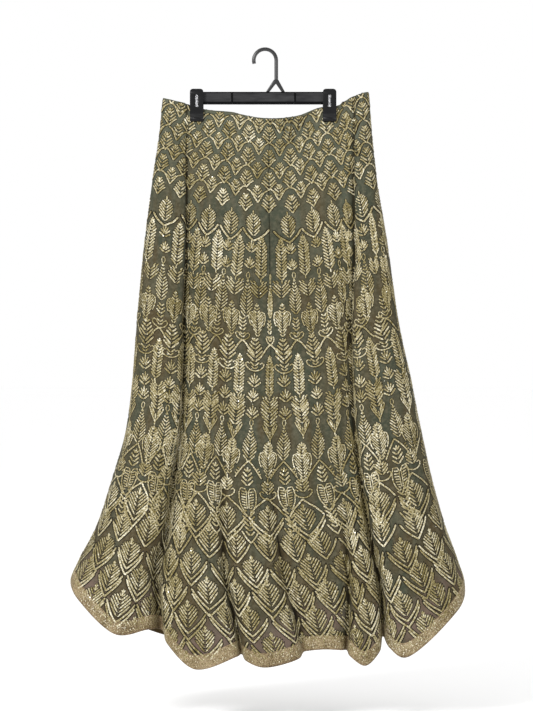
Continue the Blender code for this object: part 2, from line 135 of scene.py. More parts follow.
BACK = Panel(
    facing=1,
    valleys=[
        Valley((0.15, 0.18, 0.20, 0.19), (6, 12, 28, 48), 1158),
        Valley((0.33, 0.35, 0.37, 0.36), (8.5, 22, 41, 58), 1176),
        Valley((0.50, 0.52, 0.54, 0.55), (9, 23, 43, 61), 1184),
        Valley((0.69, 0.67, 0.69, 0.71), (8.5, 22, 40, 58), 1178),
        Valley((0.85, 0.84, 0.82, 0.83), (6, 12, 28, 46), 1150),
    ],
    folds=[
        Fold(0.55, (7, 28, 54, 84), (7, 11, 17), (5, 9, 14), (1088, 1140, 1160)),
        Fold(0.45, (9, 27, 52, 94), (14, 12, 6), (14, 12, 10), (1166, 1182, 1180)),
        Fold(0.55, (9, 26, 50, 86), (14, 14, 12), (14, 12, 6), (1182, 1192, 1190)),
        Fold(0.40, (9, 26, 51, 92), (14, 12, 6), (14, 14, 12), (1190, 1192, 1182)),
        Fold(0.55, (9, 27, 52, 88), (14, 12, 10), (14, 12, 8), (1180, 1178, 1160)),
        Fold(0.45, (7, 28, 55, 86), (5, 9, 14), (7, 11, 17), (1154, 1138, 1100)),
    ],
)


def mix(a, b, share):
    return a + (b - a) * share


def ease(value):
    """0 below 0, 1 above 1 and a smooth step between."""
    value = np.clip(value, 0, 1)
    return value * value * (3 - 2 * value)


def through(known, values, at):
    """A smooth curve through a table's values, which doesn't overshoot between them."""
    known = np.asarray(known, float)
    values = np.asarray(values, float)
    run = np.diff(known)
    rise = np.diff(values) / run
    slope = np.concatenate([rise[:1], np.zeros(len(run) - 1), rise[-1:]])
    for i in range(1, len(run)):
        if rise[i - 1] * rise[i] > 0:
            before = run[i - 1] + 2 * run[i]
            after = 2 * run[i - 1] + run[i]
            slope[i] = (before + after) / (before / rise[i - 1] + after / rise[i])
    at = np.clip(at, known[0], known[-1])
    i = np.clip(np.searchsorted(known, at, side="right") - 1, 0, len(run) - 1)
    u = (at - known[i]) / run[i]
    steep = (u**3 - 2 * u**2 + u) * slope[i] + (u**3 - u**2) * slope[i + 1]
    return mix(values[i], values[i + 1], ease(u)) + run[i] * steep


def outline(side, down):
    known = [row.down * MM for row in SIDES]
    return through(known, [getattr(row, side) * MM for row in SIDES], down)


def waist_down(across):
    return through([e.across for e in WAIST_EDGE], [e.down * MM for e in WAIST_EDGE], across)


def down_at(v, across_at_waist, hem):
    top = waist_down(across_at_waist)
    turn = ease((v - HEM_TURN) / (1 - HEM_TURN))
    return top + CENTRE_DROP * v + (hem - top - CENTRE_DROP) * turn


def at_level(values, v):
    return float(through(LEVELS, np.array(values) * MM, v))


def reach_at(reach, v):
    return at_level((reach[0], *reach), v)


def valley_lines(panel, v):
    lines = []
    marks = [(0.0, 0.0, SIDE_HEMS[0] * MM)]
    for valley in panel.valleys:
        across = float(through(LEVELS, valley.across, v))
        marks.append((across, at_level(valley.forward, v), valley.hem * MM))
    marks.append((1.0, 0.0, SIDE_HEMS[1] * MM))
    waists = [0.0, *(valley.across[0] for valley in panel.valleys), 1.0]
    for (across, forward, hem), waist in zip(marks, waists):
        down = float(down_at(v, waist, hem))
        x = mix(float(outline("left", down)), float(outline("right", down)), across)
        lines.append((x, forward, down))
    return lines, waists


def guide_lines(panel, v):
    ends, waists = valley_lines(panel, v)
    points = [ends[0]]
    for i, fold in enumerate(panel.folds):
        (left_x, left_forward, _), (right_x, right_forward, _) = ends[i], ends[i + 1]
        crown = at_level(fold.crown, v)
        spots = [
            (left_x + reach_at(fold.left_reach, v), left_forward, SHOULDER_ACROSS),
            (mix(left_x, right_x, fold.crown_at), crown, fold.crown_at),
            (right_x - reach_at(fold.right_reach, v), right_forward, 1 - SHOULDER_ACROSS),
        ]
        for (x, foot, share), hem in zip(spots, fold.hem):
            waist = mix(waists[i], waists[i + 1], share)
            forward = mix(foot, crown, SHOULDER_HEIGHT)
            if share == fold.crown_at:
                forward = crown
            points.append((x, forward, float(down_at(v, waist, hem * MM))))
        points.append(ends[i + 1])
    return np.array(points)


def row_curve(points, places):
    mirror = np.array([1, -1, 1])
    ahead = np.vstack([points[1] * mirror, points, points[-2] * mirror])
    step = np.sqrt(np.linalg.norm(np.diff(ahead[:, :2], axis=0), axis=1))[:, None]
    slope = np.diff(ahead, axis=0) / step
    tangent = slope[:-1] + slope[1:] - (ahead[2:] - ahead[:-2]) / (step[:-1] + step[1:])
    i = np.minimum(places.astype(int), len(points) - 2)
    u = (places - i)[:, None]
    span = step[1:-1][i]
    steep = (u**3 - 2 * u**2 + u) * tangent[i] + (u**3 - u**2) * tangent[i + 1]
    return mix(points[i], points[i + 1], ease(u)) + span * steep


def pinched(x, forward, down, limit):
    for centre in CLIP_CENTRES:
        near = 1 - ease((abs(x - centre) - PINCH_REACH[0]) / (PINCH_REACH[1] - PINCH_REACH[0]))
        high = 1 - ease((down - PINCH_DOWN[0]) / (PINCH_DOWN[1] - PINCH_DOWN[0]))
        forward = mix(forward, np.minimum(forward, limit), near * high)
    return forward


def skirt_row(panel, v, places):
    x, forward, down = row_curve(guide_lines(panel, v), places).T
    forward = pinched(x, forward, down, PINCH_FORWARD - SEAM_GAP) + SEAM_GAP
    return np.column_stack([x, panel.facing * forward, -down])


def lining_row(panel, v, across):
    waists = [0.0, *(valley.across[0] for valley in panel.valleys), 1.0]
    hems = [SIDE_HEMS[0], *(valley.hem for valley in panel.valleys), SIDE_HEMS[1]]
    hem = through(waists, np.array(hems) * MM, across)
    down = down_at(v, across, hem)
    inset = at_level(LINING_INSET, v)
    left = outline("left", down) + inset
    right = outline("right", down) - inset
    full = (1 - abs(2 * across - 1) ** LINING_SQUARENESS) ** 0.5
    x = mix(left, right, across)
    forward = pinched(x, at_level(LINING_FORWARD, v) * full, down, LINING_PINCH - LINING_SEAM)
    return np.column_stack([x, panel.facing * (forward + LINING_SEAM), -down])


# Creases that the photo shows on the front, besides its folds: where each lies across, the
# levels between which it shows, its half width and its depth in millimetres.
Crease = namedtuple("Crease", "across lean top bottom width depth")
FRONT_CREASES = [
    Crease(0.03, 0.02, 0.0, 0.045, 0.010, 2.4),
    Crease(0.13, 0.30, 0.0, 0.040, 0.009, 2.6),
    Crease(0.21, -0.40, 0.0, 0.050, 0.010, 3.0),
    Crease(0.30, -0.60, 0.0, 0.045, 0.009, 2.4),
    Crease(0.02, 0.02, 0.0, 0.10, 0.030, 1.6),
    Crease(0.11, 0.01, 0.0, 0.08, 0.025, 1.2),
    Crease(0.20, 0.00, 0.0, 0.09, 0.022, -1.2),
    Crease(-0.08, 0.00, 0.0, 0.07, 0.025, -1.0),
    Crease(0.005, -0.01, 0.02, 0.42, 0.012, 1.5),
    Crease(-0.30, -0.02, 0.18, 0.75, 0.030, 1.6),
    Crease(-0.46, 0.00, 0.30, 0.95, 0.035, 2.0),
    Crease(0.28, 0.00, 0.22, 0.80, 0.035, 1.8),
    Crease(0.47, 0.02, 0.30, 0.70, 0.030, 1.6),
    Crease(-0.84, 0.02, 0.35, 0.95, 0.030, 2.2),
    Crease(0.88, -0.03, 0.40, 0.95, 0.030, 2.2),
]
BACK_CREASES = [
    Crease(-0.04, 0.01, 0.0, 0.12, 0.030, 1.5),
    Crease(0.16, 0.00, 0.0, 0.10, 0.025, -1.2),
    Crease(-0.30, -0.02, 0.20, 0.80, 0.030, 1.8),
    Crease(0.34, 0.02, 0.25, 0.85, 0.035, 1.8),
    Crease(-0.62, 0.00, 0.30, 0.90, 0.030, 2.0),
    Crease(0.70, 0.01, 0.30, 0.90, 0.030, 2.0),
]
RIPPLES = ((11.0, 0.35, 1.3), (17.0, 0.30, 2.9), (29.0, 0.22, 4.2))
EDGE_QUIET = 0.04


def softened(across, level, creases):
    """How far the cloth's creases and ripples move it outwards, in metres."""
    forward = np.zeros(np.broadcast(across, level).shape)
    for crease in creases:
        middle = crease.across + crease.lean * level
        near = np.exp(-(((across - middle) / crease.width) ** 2))
        span = (level - crease.top) / (crease.bottom - crease.top)
        fade = ease(span * 5 + (crease.top == 0)) * ease((1 - span) * 4)
        forward -= crease.depth * MM * near * fade
    for count, size, turn in RIPPLES:
        wave = np.sin(count * across + turn + 2.2 * np.sin(3.1 * level + turn))
        forward += size * MM * wave * ease(level * 6)
    return forward * ease((1 - abs(across)) / EDGE_QUIET)


SIDE_PLEATS = (4, 20)
PLEAT_WIDTH = 0.0023
PLEAT_DEPTH = 0.0028
PLEAT_END = 0.42
PLEAT_FADE = 0.25
HOLLOW_REACH = 14
HOLLOW_DEPTH = 0.006
FACE_ROWS = 260
HALF_COLUMNS = 300
PLACE_STEP = 0.04
DROP_STEP = 0.004
BORDER_TOP = 1 - BORDER_HEIGHT / CENTRE_DROP


class Face:
    """The front or the back of the skirt, with each place on it looked up as if it lay flat."""

    def __init__(self, panel, creases, columns, centre_place=None):
        self.facing = panel.facing
        self.columns = columns
        self.levels = np.linspace(0, 1, FACE_ROWS + 1)
        self.across = np.linspace(-1, 1, 2 * HALF_COLUMNS + 1)
        places = np.arange(0, FOLDS * GUIDES_PER_FOLD + PLACE_STEP / 2, PLACE_STEP)
        rows = []
        halves = []
        folded_in = []
        for v in self.levels:
            row = skirt_row(panel, v, places)
            run = np.concatenate([[0], np.cumsum(np.linalg.norm(np.diff(row, axis=0), axis=1))])
            centre = run[-1] / 2
            if centre_place:
                centre = np.interp(centre_place, places, run)
            after = run[-1] - centre
            at = centre + self.across * np.where(self.across < 0, centre, after)
            rows.append(np.column_stack([np.interp(at, run, row[:, i]) for i in range(3)]))
            halves.append((centre, after))
            folded_in.append([abs(at - np.interp(place, places, run)) for place in SIDE_PLEATS])
        points = np.array(rows)
        self.halves = np.array(halves)
        outward = self.normals_of(points)
        moved = softened(self.across[None, :], self.levels[:, None], creases)
        self.pleat = np.exp(-((np.min(folded_in, axis=1) / PLEAT_WIDTH) ** 2))
        self.pleat *= 1 - ease((self.levels[:, None] - PLEAT_END) / PLEAT_FADE)
        moved -= PLEAT_DEPTH * self.pleat
        self.points = points + outward * moved[:, :, None]
        self.normals = self.normals_of(self.points)
        down = np.linalg.norm(np.diff(self.points, axis=0), axis=2)
        self.drops = np.concatenate([np.zeros((1, down.shape[1])), np.cumsum(down, axis=0)])
        self.mean_drops = self.drops.mean(axis=1)
        self.border_drop = self.of_level(self.drops, BORDER_TOP)
        self.hollow = self.hollows()
        self.lay_flat()

    def normals_of(self, points):
        normal = np.cross(np.gradient(points, axis=0), np.gradient(points, axis=1))
        return -self.facing * normal / np.linalg.norm(normal, axis=2)[:, :, None]

    def of_level(self, grid, level):
        return grid[round(level * FACE_ROWS)]

    def hollows(self):
        """How deep each place lies between the folds beside it, from 0 to 1."""
        forward = self.points[:, :, 1] * self.facing
        kernel = np.ones(2 * HOLLOW_REACH + 1) / (2 * HOLLOW_REACH + 1)
        padded = np.pad(forward, ((0, 0), (HOLLOW_REACH, HOLLOW_REACH)), mode="edge")
        mean = np.array([np.convolve(row, kernel, "valid") for row in padded])
        return np.maximum(np.clip((mean - forward) / HOLLOW_DEPTH, 0, 1) ** 1.5, self.pleat)

    def lay_flat(self):
        count = int(self.drops.max() / DROP_STEP) + 2
        known = np.arange(count) * DROP_STEP
        grids = np.concatenate([self.points, self.normals], axis=2)
        self.flat = np.empty((len(self.across), count, 6))
        for c in range(len(self.across)):
            for i in range(6):
                self.flat[c, :, i] = np.interp(known, self.drops[:, c], grids[:, c, i])

    def half(self, across, drop):
        """The way along the cloth from its centre to its side at a drop, in metres."""
        left = np.interp(drop, self.mean_drops, self.halves[:, 0])
        right = np.interp(drop, self.mean_drops, self.halves[:, 1])
        return np.where(across < 0, left, right)

    def at(self, across, drop):
        """World points and outward directions at places on the laid out cloth."""
        c = np.clip((across + 1) * HALF_COLUMNS, 0, 2 * HALF_COLUMNS - 1e-6)
        k = np.clip(drop / DROP_STEP, 0, self.flat.shape[1] - 1.001)
        ci, ki = c.astype(int), k.astype(int)
        cu, ku = (c - ci)[..., None], (k - ki)[..., None]
        near = mix(self.flat[ci, ki], self.flat[ci, ki + 1], ku)
        far = mix(self.flat[ci + 1, ki], self.flat[ci + 1, ki + 1], ku)
        found = mix(near, far, cu)
        normal = found[..., 3:]
        return found[..., :3], normal / np.linalg.norm(normal, axis=-1)[..., None]

    def column_at(self, grid, q, step):
        """Across of column q of a grid of motifs, at steps below the waist edge."""
        table = self.columns[grid]
        half = (len(table[0].across) - 1) // 2
        known = np.arange(-half, half + 1)
        ahead = [np.interp(q, known, row.across) for row in table]
        return np.interp(step, [row.step for row in table], ahead)

    def border_at(self, across):
        return np.interp(across, self.across, self.border_drop)


# Where the pattern's columns lie across, at steps below the waist edge. Column 0 is the middle
# one. On the front they crowd together or go out of sight where the cloth is folded in.
Columns = namedtuple("Columns", "step across")
SCALE_EVEN = [Columns(0, [round(q / 5.5, 3) for q in range(-6, 7)])]
FRONT_COLUMNS = {
    "scales": SCALE_EVEN,
    "motifs": [
        Columns(107, (
            -1.03, -0.825, -0.61, -0.46, -0.29, -0.115, 0.01, 0.14, 0.345, 0.51, 0.64, 0.795,
            0.98,
        )),
        Columns(177, (
            -0.97, -0.79, -0.585, -0.46, -0.32, -0.155, 0.0, 0.165, 0.35, 0.50, 0.60, 0.745, 0.89,
        )),
        Columns(232, (
            -0.95, -0.77, -0.62, -0.50, -0.35, -0.185, -0.005, 0.165, 0.365, 0.55, 0.725, 0.885,
            1.04,
        )),
        Columns(322, (
            -0.92, -0.745, -0.62, -0.505, -0.37, -0.215, -0.02, 0.16, 0.355, 0.52, 0.675, 0.865,
            1.03,
        )),
        Columns(372, (
            -0.90, -0.75, -0.645, -0.52, -0.385, -0.235, -0.02, 0.16, 0.36, 0.53, 0.665, 0.835,
            1.01,
        )),
        Columns(420, (
            -0.92, -0.765, -0.655, -0.52, -0.40, -0.235, -0.045, 0.13, 0.33, 0.47, 0.61, 0.78,
            0.97,
        )),
    ],
    "lattice": [
        Columns(448, (
            -1.02, -0.92, -0.81, -0.69, -0.57, -0.475, -0.34, -0.19, -0.06, 0.06, 0.18, 0.335,
            0.45, 0.61, 0.77, 0.91, 1.03,
        )),
        Columns(474, (
            -1.0, -0.905, -0.805, -0.70, -0.58, -0.475, -0.355, -0.2, -0.085, 0.04, 0.155, 0.305,
            0.43, 0.58, 0.735, 0.865, 1.0,
        )),
        Columns(515, (
            -0.98, -0.88, -0.785, -0.69, -0.59, -0.50, -0.37, -0.25, -0.11, 0.01, 0.125, 0.27,
            0.41, 0.545, 0.70, 0.84, 0.97,
        )),
    ],
}
BACK_COLUMNS = {
    "scales": SCALE_EVEN,
    "motifs": [Columns(0, [round(q / 6, 3) for q in range(-6, 7)])],
    "lattice": [Columns(0, [round(q / 8, 3) for q in range(-8, 9)])],
}

front = Face(FRONT, FRONT_CREASES, FRONT_COLUMNS, CENTRE_SEAM_PLACE)
back = Face(BACK, BACK_CREASES, BACK_COLUMNS)
FACES = (("front", front), ("back", back))


# Materials


class Value:
    """A number that varies over a surface. Arithmetic on it adds Math nodes."""

    def __init__(self, finish, socket):
        self.finish = finish
        self.socket = socket

    def math(self, operation, first, second=0.0):
        return self.finish.value("Math", {"operation": operation}, {0: first, 1: second})

    def __add__(self, other):
        return self.math("ADD", self, other)

    def __sub__(self, other):
        return self.math("SUBTRACT", self, other)

    def __mul__(self, other):
        return self.math("MULTIPLY", self, other)

    def __truediv__(self, other):
        return self.math("DIVIDE", self, other)

    def __rsub__(self, other):
        return self.math("SUBTRACT", other, self)

    __radd__ = __add__
    __rmul__ = __mul__

    def clipped(self):
        return self.math("MINIMUM", self.math("MAXIMUM", self, 0.0), 1.0)

    def between(self, low, high):
        """0 below low and 1 above high."""
        return ((self - low) / (high - low)).clipped()


class Finish:
    """A material made of nodes around one Principled shader."""

    def __init__(self, name, roughness, metallic=0.0, **constants):
        self.material = bpy.data.materials.new(name)
        self.material.use_nodes = True
        self.tree = self.material.node_tree
        self.shader = self.tree.nodes["Principled BSDF"]
        self.set("Roughness", roughness)
        self.set("Metallic", metallic)
        for socket, value in constants.items():
            self.set(socket.replace("_", " "), value)

    def node(self, kind, settings, sockets):
        made = self.tree.nodes.new("ShaderNode" + kind)
        for name, value in settings.items():
            if name == "stops":
                self.set_stops(made.color_ramp, value)
            else:
                setattr(made, name, value)
        for name, value in sockets.items():
            self.join(made.inputs[name], value)
        return made

    def set_stops(self, ramp, stops):
        while len(ramp.elements) < len(stops):
            ramp.elements.new(1.0)
        for element, (place, colour) in zip(ramp.elements, stops):
            element.position = place
            element.color = (*colour, 1.0)

    def join(self, socket, value):
        if isinstance(value, Value):
            self.tree.links.new(value.socket, socket)
        elif isinstance(value, bpy.types.NodeSocket):
            self.tree.links.new(value, socket)
        else:
            socket.default_value = value

    def value(self, kind, settings, sockets, output=0):
        return Value(self, self.node(kind, settings, sockets).outputs[output])

    def set(self, socket, value):
        self.join(self.shader.inputs[socket], value)

    def place(self):
        return self.node("TexCoord", {}, {}).outputs["Object"]

    def stretched(self, x, y, z):
        return self.node("Mapping", {}, {"Vector": self.place(), "Scale": (x, y, z)}).outputs[0]

    def noise(self, scale, detail=2.0, vector=None, rough=0.5):
        sockets = {
            "Vector": vector or self.place(),
            "Scale": scale,
            "Detail": detail,
            "Roughness": rough,
        }
        return self.value("TexNoise", {}, sockets)

    def blend(self, share, first, second, how="MIX"):
        settings = {"data_type": "RGBA", "blend_type": how}
        first = (*first, 1.0) if isinstance(first, tuple) else first
        second = (*second, 1.0) if isinstance(second, tuple) else second
        made = self.node("Mix", settings, {"Factor": share})
        self.join(made.inputs[6], first)
        self.join(made.inputs[7], second)
        return made.outputs[2]

    def ramp(self, share, stops):
        return self.node("ValToRGB", {"stops": stops}, {0: share}).outputs[0]

    def marks(self, name):
        """The three numbers of a piece's own attribute, and its vector."""
        read = self.node("Attribute", {"attribute_name": name}, {})
        parts = self.node("SeparateColor", {}, {0: read.outputs["Color"]})
        return [Value(self, parts.outputs[i]) for i in range(3)], read.outputs["Vector"]

    def bump(self, height, distance, strength=1.0):
        sockets = {"Height": height, "Distance": distance, "Strength": strength}
        self.set("Normal", self.node("Bump", {}, sockets).outputs[0])


OLIVE_SHADOW = (0.0058, 0.0040, 0.0012)
OLIVE_GOLD = (0.092, 0.072, 0.020)
GOLD = (0.190, 0.156, 0.066)
PALE_GOLD = (0.350, 0.308, 0.188)
CREAM = (0.70, 0.67, 0.54)
GREY_GREEN = (0.029, 0.032, 0.022)
PALE_GREEN = (0.061, 0.067, 0.050)
BROWN_GREY = (0.041, 0.031, 0.016)
WORN_GREY = (0.086, 0.077, 0.053)
MAUVE = (0.094, 0.064, 0.056)
PAINTED_CREASE_SHADE = (0.012, 0.009, 0.004)
SAND = (0.120, 0.084, 0.043)
SAND_PALE = (0.31, 0.240, 0.145)
SAND_DEEP = (0.024, 0.014, 0.006)


def net_finish():
    """Soft net over its lining: mottled grey-green and brown-grey, with painted crease shade."""
    finish = Finish("net_cloth", 0.8, Specular_IOR_Level=0.05, Sheen_Weight=0.02)
    (hollow, low, _), _ = finish.marks("cloth")
    broad = finish.noise(1.0, 3.0, finish.stretched(15, 15, 6))
    streak = finish.noise(1.0, 2.0, finish.stretched(60, 60, 7))
    fine = finish.noise(420.0, 2.0)
    warm = (broad * 0.75 + streak * 0.45 + low.between(0.70, 0.86) * 0.13).between(0.52, 0.76)
    colour = finish.blend(warm, GREY_GREEN, BROWN_GREY)
    pale = finish.noise(1.0, 2.0, finish.stretched(22, 22, 9)).between(0.56, 0.74)
    top = 1 - low.between(0.03, 0.20)
    colour = finish.blend((pale * 0.5 + top * 0.6).clipped(), colour, PALE_GREEN)
    mauve = low.between(0.90, 0.955) * finish.noise(14.0, 1.0).between(0.36, 0.56)
    colour = finish.blend(mauve * 0.75, colour, MAUVE)
    cloud = finish.noise(130.0, 2.0).between(0.44, 0.66)
    colour = finish.blend(cloud * 0.34, colour, WORN_GREY)
    # Painted shade: the hollows between the folds and the side pleats are darkened towards a deep
    # brown.
    colour = finish.blend((hollow * 0.9).clipped(), colour, PAINTED_CREASE_SHADE)
    mesh = finish.value("TexVoronoi", {}, {"Vector": finish.place(), "Scale": 560.0})
    thread = (1 - mesh.between(0.05, 0.55)) * 0.30 + fine.between(0.3, 0.7) * 0.40
    colour = finish.blend(thread, colour, (0.9, 0.9, 0.8), "OVERLAY")
    finish.set("Base Color", colour)
    finish.bump(mesh * 0.5 + fine * 0.5, 0.0006, 0.6)
    return finish.material


def inside_finish():
    finish = Finish("net_inside", 0.85, Specular_IOR_Level=0.1)
    fine = finish.noise(400.0, 2.0)
    broad = finish.noise(1.0, 2.0, finish.stretched(18, 18, 7))
    colour = finish.blend(broad.between(0.35, 0.7), (0.050, 0.034, 0.014), (0.068, 0.056, 0.034))
    finish.set("Base Color", finish.blend(fine * 0.4, colour, (0.8, 0.7, 0.5), "OVERLAY"))
    finish.bump(fine, 0.0005, 0.5)
    return finish.material


def thread_finish():
    """Raised stitches of metallic thread: painted glints on top, painted shade down the sides."""
    finish = Finish("gold_thread", 0.42, Specular_IOR_Level=0.1)
    (height, shade, _), _ = finish.marks("stitch")
    _, lay = finish.marks("lay")
    place = finish.noise(1.0, 2.0, finish.stretched(16, 16, 10))
    # The grain is the thread's own fine texture in the bump; in the colour its pale spots are
    # painted glints of the metal, beside the thread's own uneven tone.
    grain = finish.noise(430.0, 2.0, rough=0.8).between(0.38, 0.64)
    tint = (shade * 0.50 + place.between(0.3, 0.7) * 0.22 + grain * 0.80 - 0.34).clipped()
    stops = [(0.0, OLIVE_GOLD), (0.3, GOLD), (0.65, PALE_GOLD), (1.0, CREAM)]
    top = finish.ramp(tint, stops)
    # Painted shade: away from its ridge, each stitch takes a near-black olive down its sides.
    colour = finish.blend(height.between(0.50, 0.63), OLIVE_SHADOW, top)
    finish.set("Base Color", colour)
    finish.set("Roughness", 0.66 - height * 0.26)
    settings = {"wave_type": "BANDS", "bands_direction": "DIAGONAL"}
    sockets = {"Vector": lay, "Scale": 420.0, "Distortion": 1.0}
    twist = finish.value("TexWave", settings, sockets)
    finish.bump(twist * 0.5 + grain * 0.5, 0.0006, 0.7)
    return finish.material


def border_finish():
    finish = Finish("sand_border", 0.6, Specular_IOR_Level=0.12)
    grain = finish.noise(520.0, 3.0, rough=0.7)
    broad = finish.noise(30.0, 2.0)
    ramp = [(0.36, SAND_DEEP), (0.48, SAND), (0.62, SAND_PALE)]
    finish.set("Base Color", finish.ramp(grain * 0.72 + broad * 0.28, ramp))
    finish.set("Roughness", 0.7 - grain * 0.3)
    finish.bump(grain, 0.0009, 0.9)
    return finish.material


def sequin_finish():
    finish = Finish("sequins", 0.28, 0.9)
    (_, shade, _), _ = finish.marks("stitch")
    finish.set("Base Color", finish.blend(shade, (0.42, 0.36, 0.20), (0.92, 0.90, 0.78)))
    return finish.material


def lining_finish():
    finish = Finish("satin_lining", 0.42, Specular_IOR_Level=0.3, Sheen_Weight=0.05)
    broad = finish.noise(1.0, 2.0, finish.stretched(20, 20, 6))
    weave = finish.noise(1.0, 2.0, finish.stretched(900, 900, 260))
    colour = finish.blend(broad.between(0.35, 0.65), (0.056, 0.062, 0.052), (0.052, 0.042, 0.032))
    finish.set("Base Color", finish.blend(weave * 0.3, colour, (0.8, 0.8, 0.7), "OVERLAY"))
    finish.set("Roughness", 0.36 + weave * 0.2)
    finish.bump(weave, 0.0003, 0.4)
    return finish.material


def plastic_finish(name, roughness, gloss):
    """Black moulded plastic with faint wear and a slightly uneven gloss."""
    finish = Finish(name, roughness, Specular_IOR_Level=gloss)
    cloud = finish.noise(60.0, 3.0)
    grain = finish.noise(1400.0, 2.0)
    scuff = finish.noise(1.0, 2.0, finish.stretched(40, 500, 900)).between(0.66, 0.78)
    colour = finish.blend(cloud, (0.0012, 0.0012, 0.0014), (0.0030, 0.0030, 0.0034))
    finish.set("Base Color", finish.blend(scuff * 0.3, colour, (0.03, 0.03, 0.033)))
    finish.set("Roughness", cloud * 0.12 + grain * 0.06 + (roughness - 0.09) + scuff * 0.12)
    finish.bump(grain, 0.00008, 0.35)
    return finish.material


def recess_finish():
    """The bar's sunk panels, painted a soft grey as a painted reflection of the light they catch.
    """
    finish = Finish("bar_panels", 0.38, Specular_IOR_Level=0.16)
    cloud = finish.noise(1.0, 3.0, finish.stretched(30, 200, 160)).between(0.3, 0.7)
    finish.set("Base Color", finish.blend(cloud, (0.009, 0.009, 0.010), (0.021, 0.021, 0.022)))
    finish.set("Roughness", 0.30 + cloud * 0.22)
    finish.bump(cloud, 0.0002, 0.3)
    return finish.material


def steel_finish():
    finish = Finish("spring_steel", 0.22, 1.0)
    brushing_and_reflection = finish.noise(1.0, 3.0, finish.stretched(900, 300, 260)).between(0.36, 0.66)
    # Painted reflection: dark and bright streaks in the steel's colour, besides its brushed
    # roughness and bumps.
    finish.set("Base Color", finish.blend(brushing_and_reflection, (0.045, 0.045, 0.050), (0.66, 0.66, 0.67)))
    finish.set("Roughness", 0.22 + brushing_and_reflection * 0.2)
    finish.bump(brushing_and_reflection, 0.0003, 0.5)
    return finish.material


def floor_finish():
    finish = Finish("studio_floor", 0.9)
    finish.set("Base Color", (1.0, 1.0, 1.0, 1.0))
    return finish.material


NET = net_finish()
INSIDE = inside_finish()
THREAD = thread_finish()
BORDER = border_finish()
SEQUIN = sequin_finish()
LINING = lining_finish()
PLASTIC = plastic_finish("black_plastic", 0.24, 0.06)
HOOK_PLASTIC = plastic_finish("hook_plastic", 0.34, 0.5)
CLIP_PLASTIC = plastic_finish("clip_plastic", 0.22, 0.22)
PANEL_PLASTIC = recess_finish()
STEEL = steel_finish()


# Making pieces


def linked(name, data):
    made = bpy.data.objects.new(name, data)
    bpy.context.scene.collection.objects.link(made)
    return made


def mesh_of(name, bm):
    mesh = bpy.data.meshes.new(name)
    bm.to_mesh(mesh)
    bm.free()
    return mesh


def add_piece(name, mesh, material, replaces=()):
    piece = linked(name, mesh)
    mesh.materials.append(material)
    mesh.shade_smooth()
    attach(piece, ROOT)
    if replaces:
        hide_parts(*replaces)
    return piece


def grid_of(name, rows, columns, facing=-1, parted=0):
    """A grid mesh, and the row and column of each of its points.

    With "parted" the grid falls apart into strips of that many rows of points each.
    """
    bm = bmesh.new()
    bmesh.ops.create_grid(bm, x_segments=columns - 1, y_segments=rows - 1, size=0.5)
    if parted:
        gaps = [
            face
            for face in bm.faces
            if int((0.5 - face.calc_center_median().y) * (rows - 1)) % parted == parted - 1
        ]
        bmesh.ops.delete(bm, geom=gaps, context="FACES")
    mesh = mesh_of(name, bm)
    spots = np.empty(len(mesh.vertices) * 3, np.float32)
    mesh.vertices.foreach_get("co", spots)
    spots = spots.reshape(-1, 3).astype(float)
    column = np.rint((0.5 - facing * spots[:, 0]) * (columns - 1)).astype(int)
    row = np.rint((0.5 - spots[:, 1]) * (rows - 1)).astype(int)
    return mesh, row, column


def move_points(mesh, spots):
    mesh.vertices.foreach_set("co", np.ascontiguousarray(spots, np.float32).ravel())
    mesh.update()


def mark_points(mesh, name, values):
    """Gives a mesh's points an attribute of three numbers each."""
    marks = mesh.attributes.new(name, "FLOAT_COLOR", "POINT")
    four = np.ones((len(values), 4), np.float32)
    four[:, :3] = values
    marks.data.foreach_set("color", four.ravel())


def add_wall(piece, thickness):
    """Gives a sheet its thickness, inwards, and returns the modifier."""
    wall = piece.modifiers.new("wall", "SOLIDIFY")
    wall.thickness = thickness
    wall.offset = -1
    return wall


SIDE_LAP = 0.0006
SIDE_EDGE = 0.9999


def sheet_piece(name, face, across, levels, lift, thickness, material, replaces):
    """A thin sheet of cloth on a face of the skirt, between two places across and two levels."""
    at_level_row = np.interp(levels, face.levels, np.arange(len(face.levels)))
    at_column = np.interp(across, face.across, np.arange(len(face.across)))
    i, j = np.minimum(at_level_row.astype(int), FACE_ROWS - 1), at_column.astype(int)
    j = np.minimum(j, 2 * HALF_COLUMNS - 1)
    iu, ju = (at_level_row - i)[:, None, None], (at_column - j)[None, :, None]
    fields = np.concatenate([face.points, face.normals, face.hollow[:, :, None]], axis=2)
    upper = mix(fields[i][:, j], fields[i][:, j + 1], ju)
    lower = mix(fields[i + 1][:, j], fields[i + 1][:, j + 1], ju)
    here = mix(upper, lower, iu)
    spots = here[:, :, :3] + here[:, :, 3:6] * lift
    spots[:, abs(across) > SIDE_EDGE, 1] -= face.facing * SIDE_LAP
    mesh, row, column = grid_of(name, len(levels), len(across), face.facing)
    move_points(mesh, spots[row, column])
    marks = np.stack([here[row, column, 6], levels[row], 0.5 + across[column] / 2], axis=1)
    mark_points(mesh, "cloth", marks)
    piece = add_piece(name, mesh, material, replaces)
    mesh.materials.append(INSIDE)
    add_wall(piece, thickness).material_offset = 1
    return piece


NET_ROWS = 200
NET_WALL = 0.0011
NET_OVERLAP = 0.0015
CENTRE_SEAM = 0.0012
BORDER_ROWS_DOWN = 10
BORDER_COLUMNS = 260
BORDER_WALL = 0.0016
BORDER_LIFT = 0.0007
BORDER_OVERLAP = 0.004


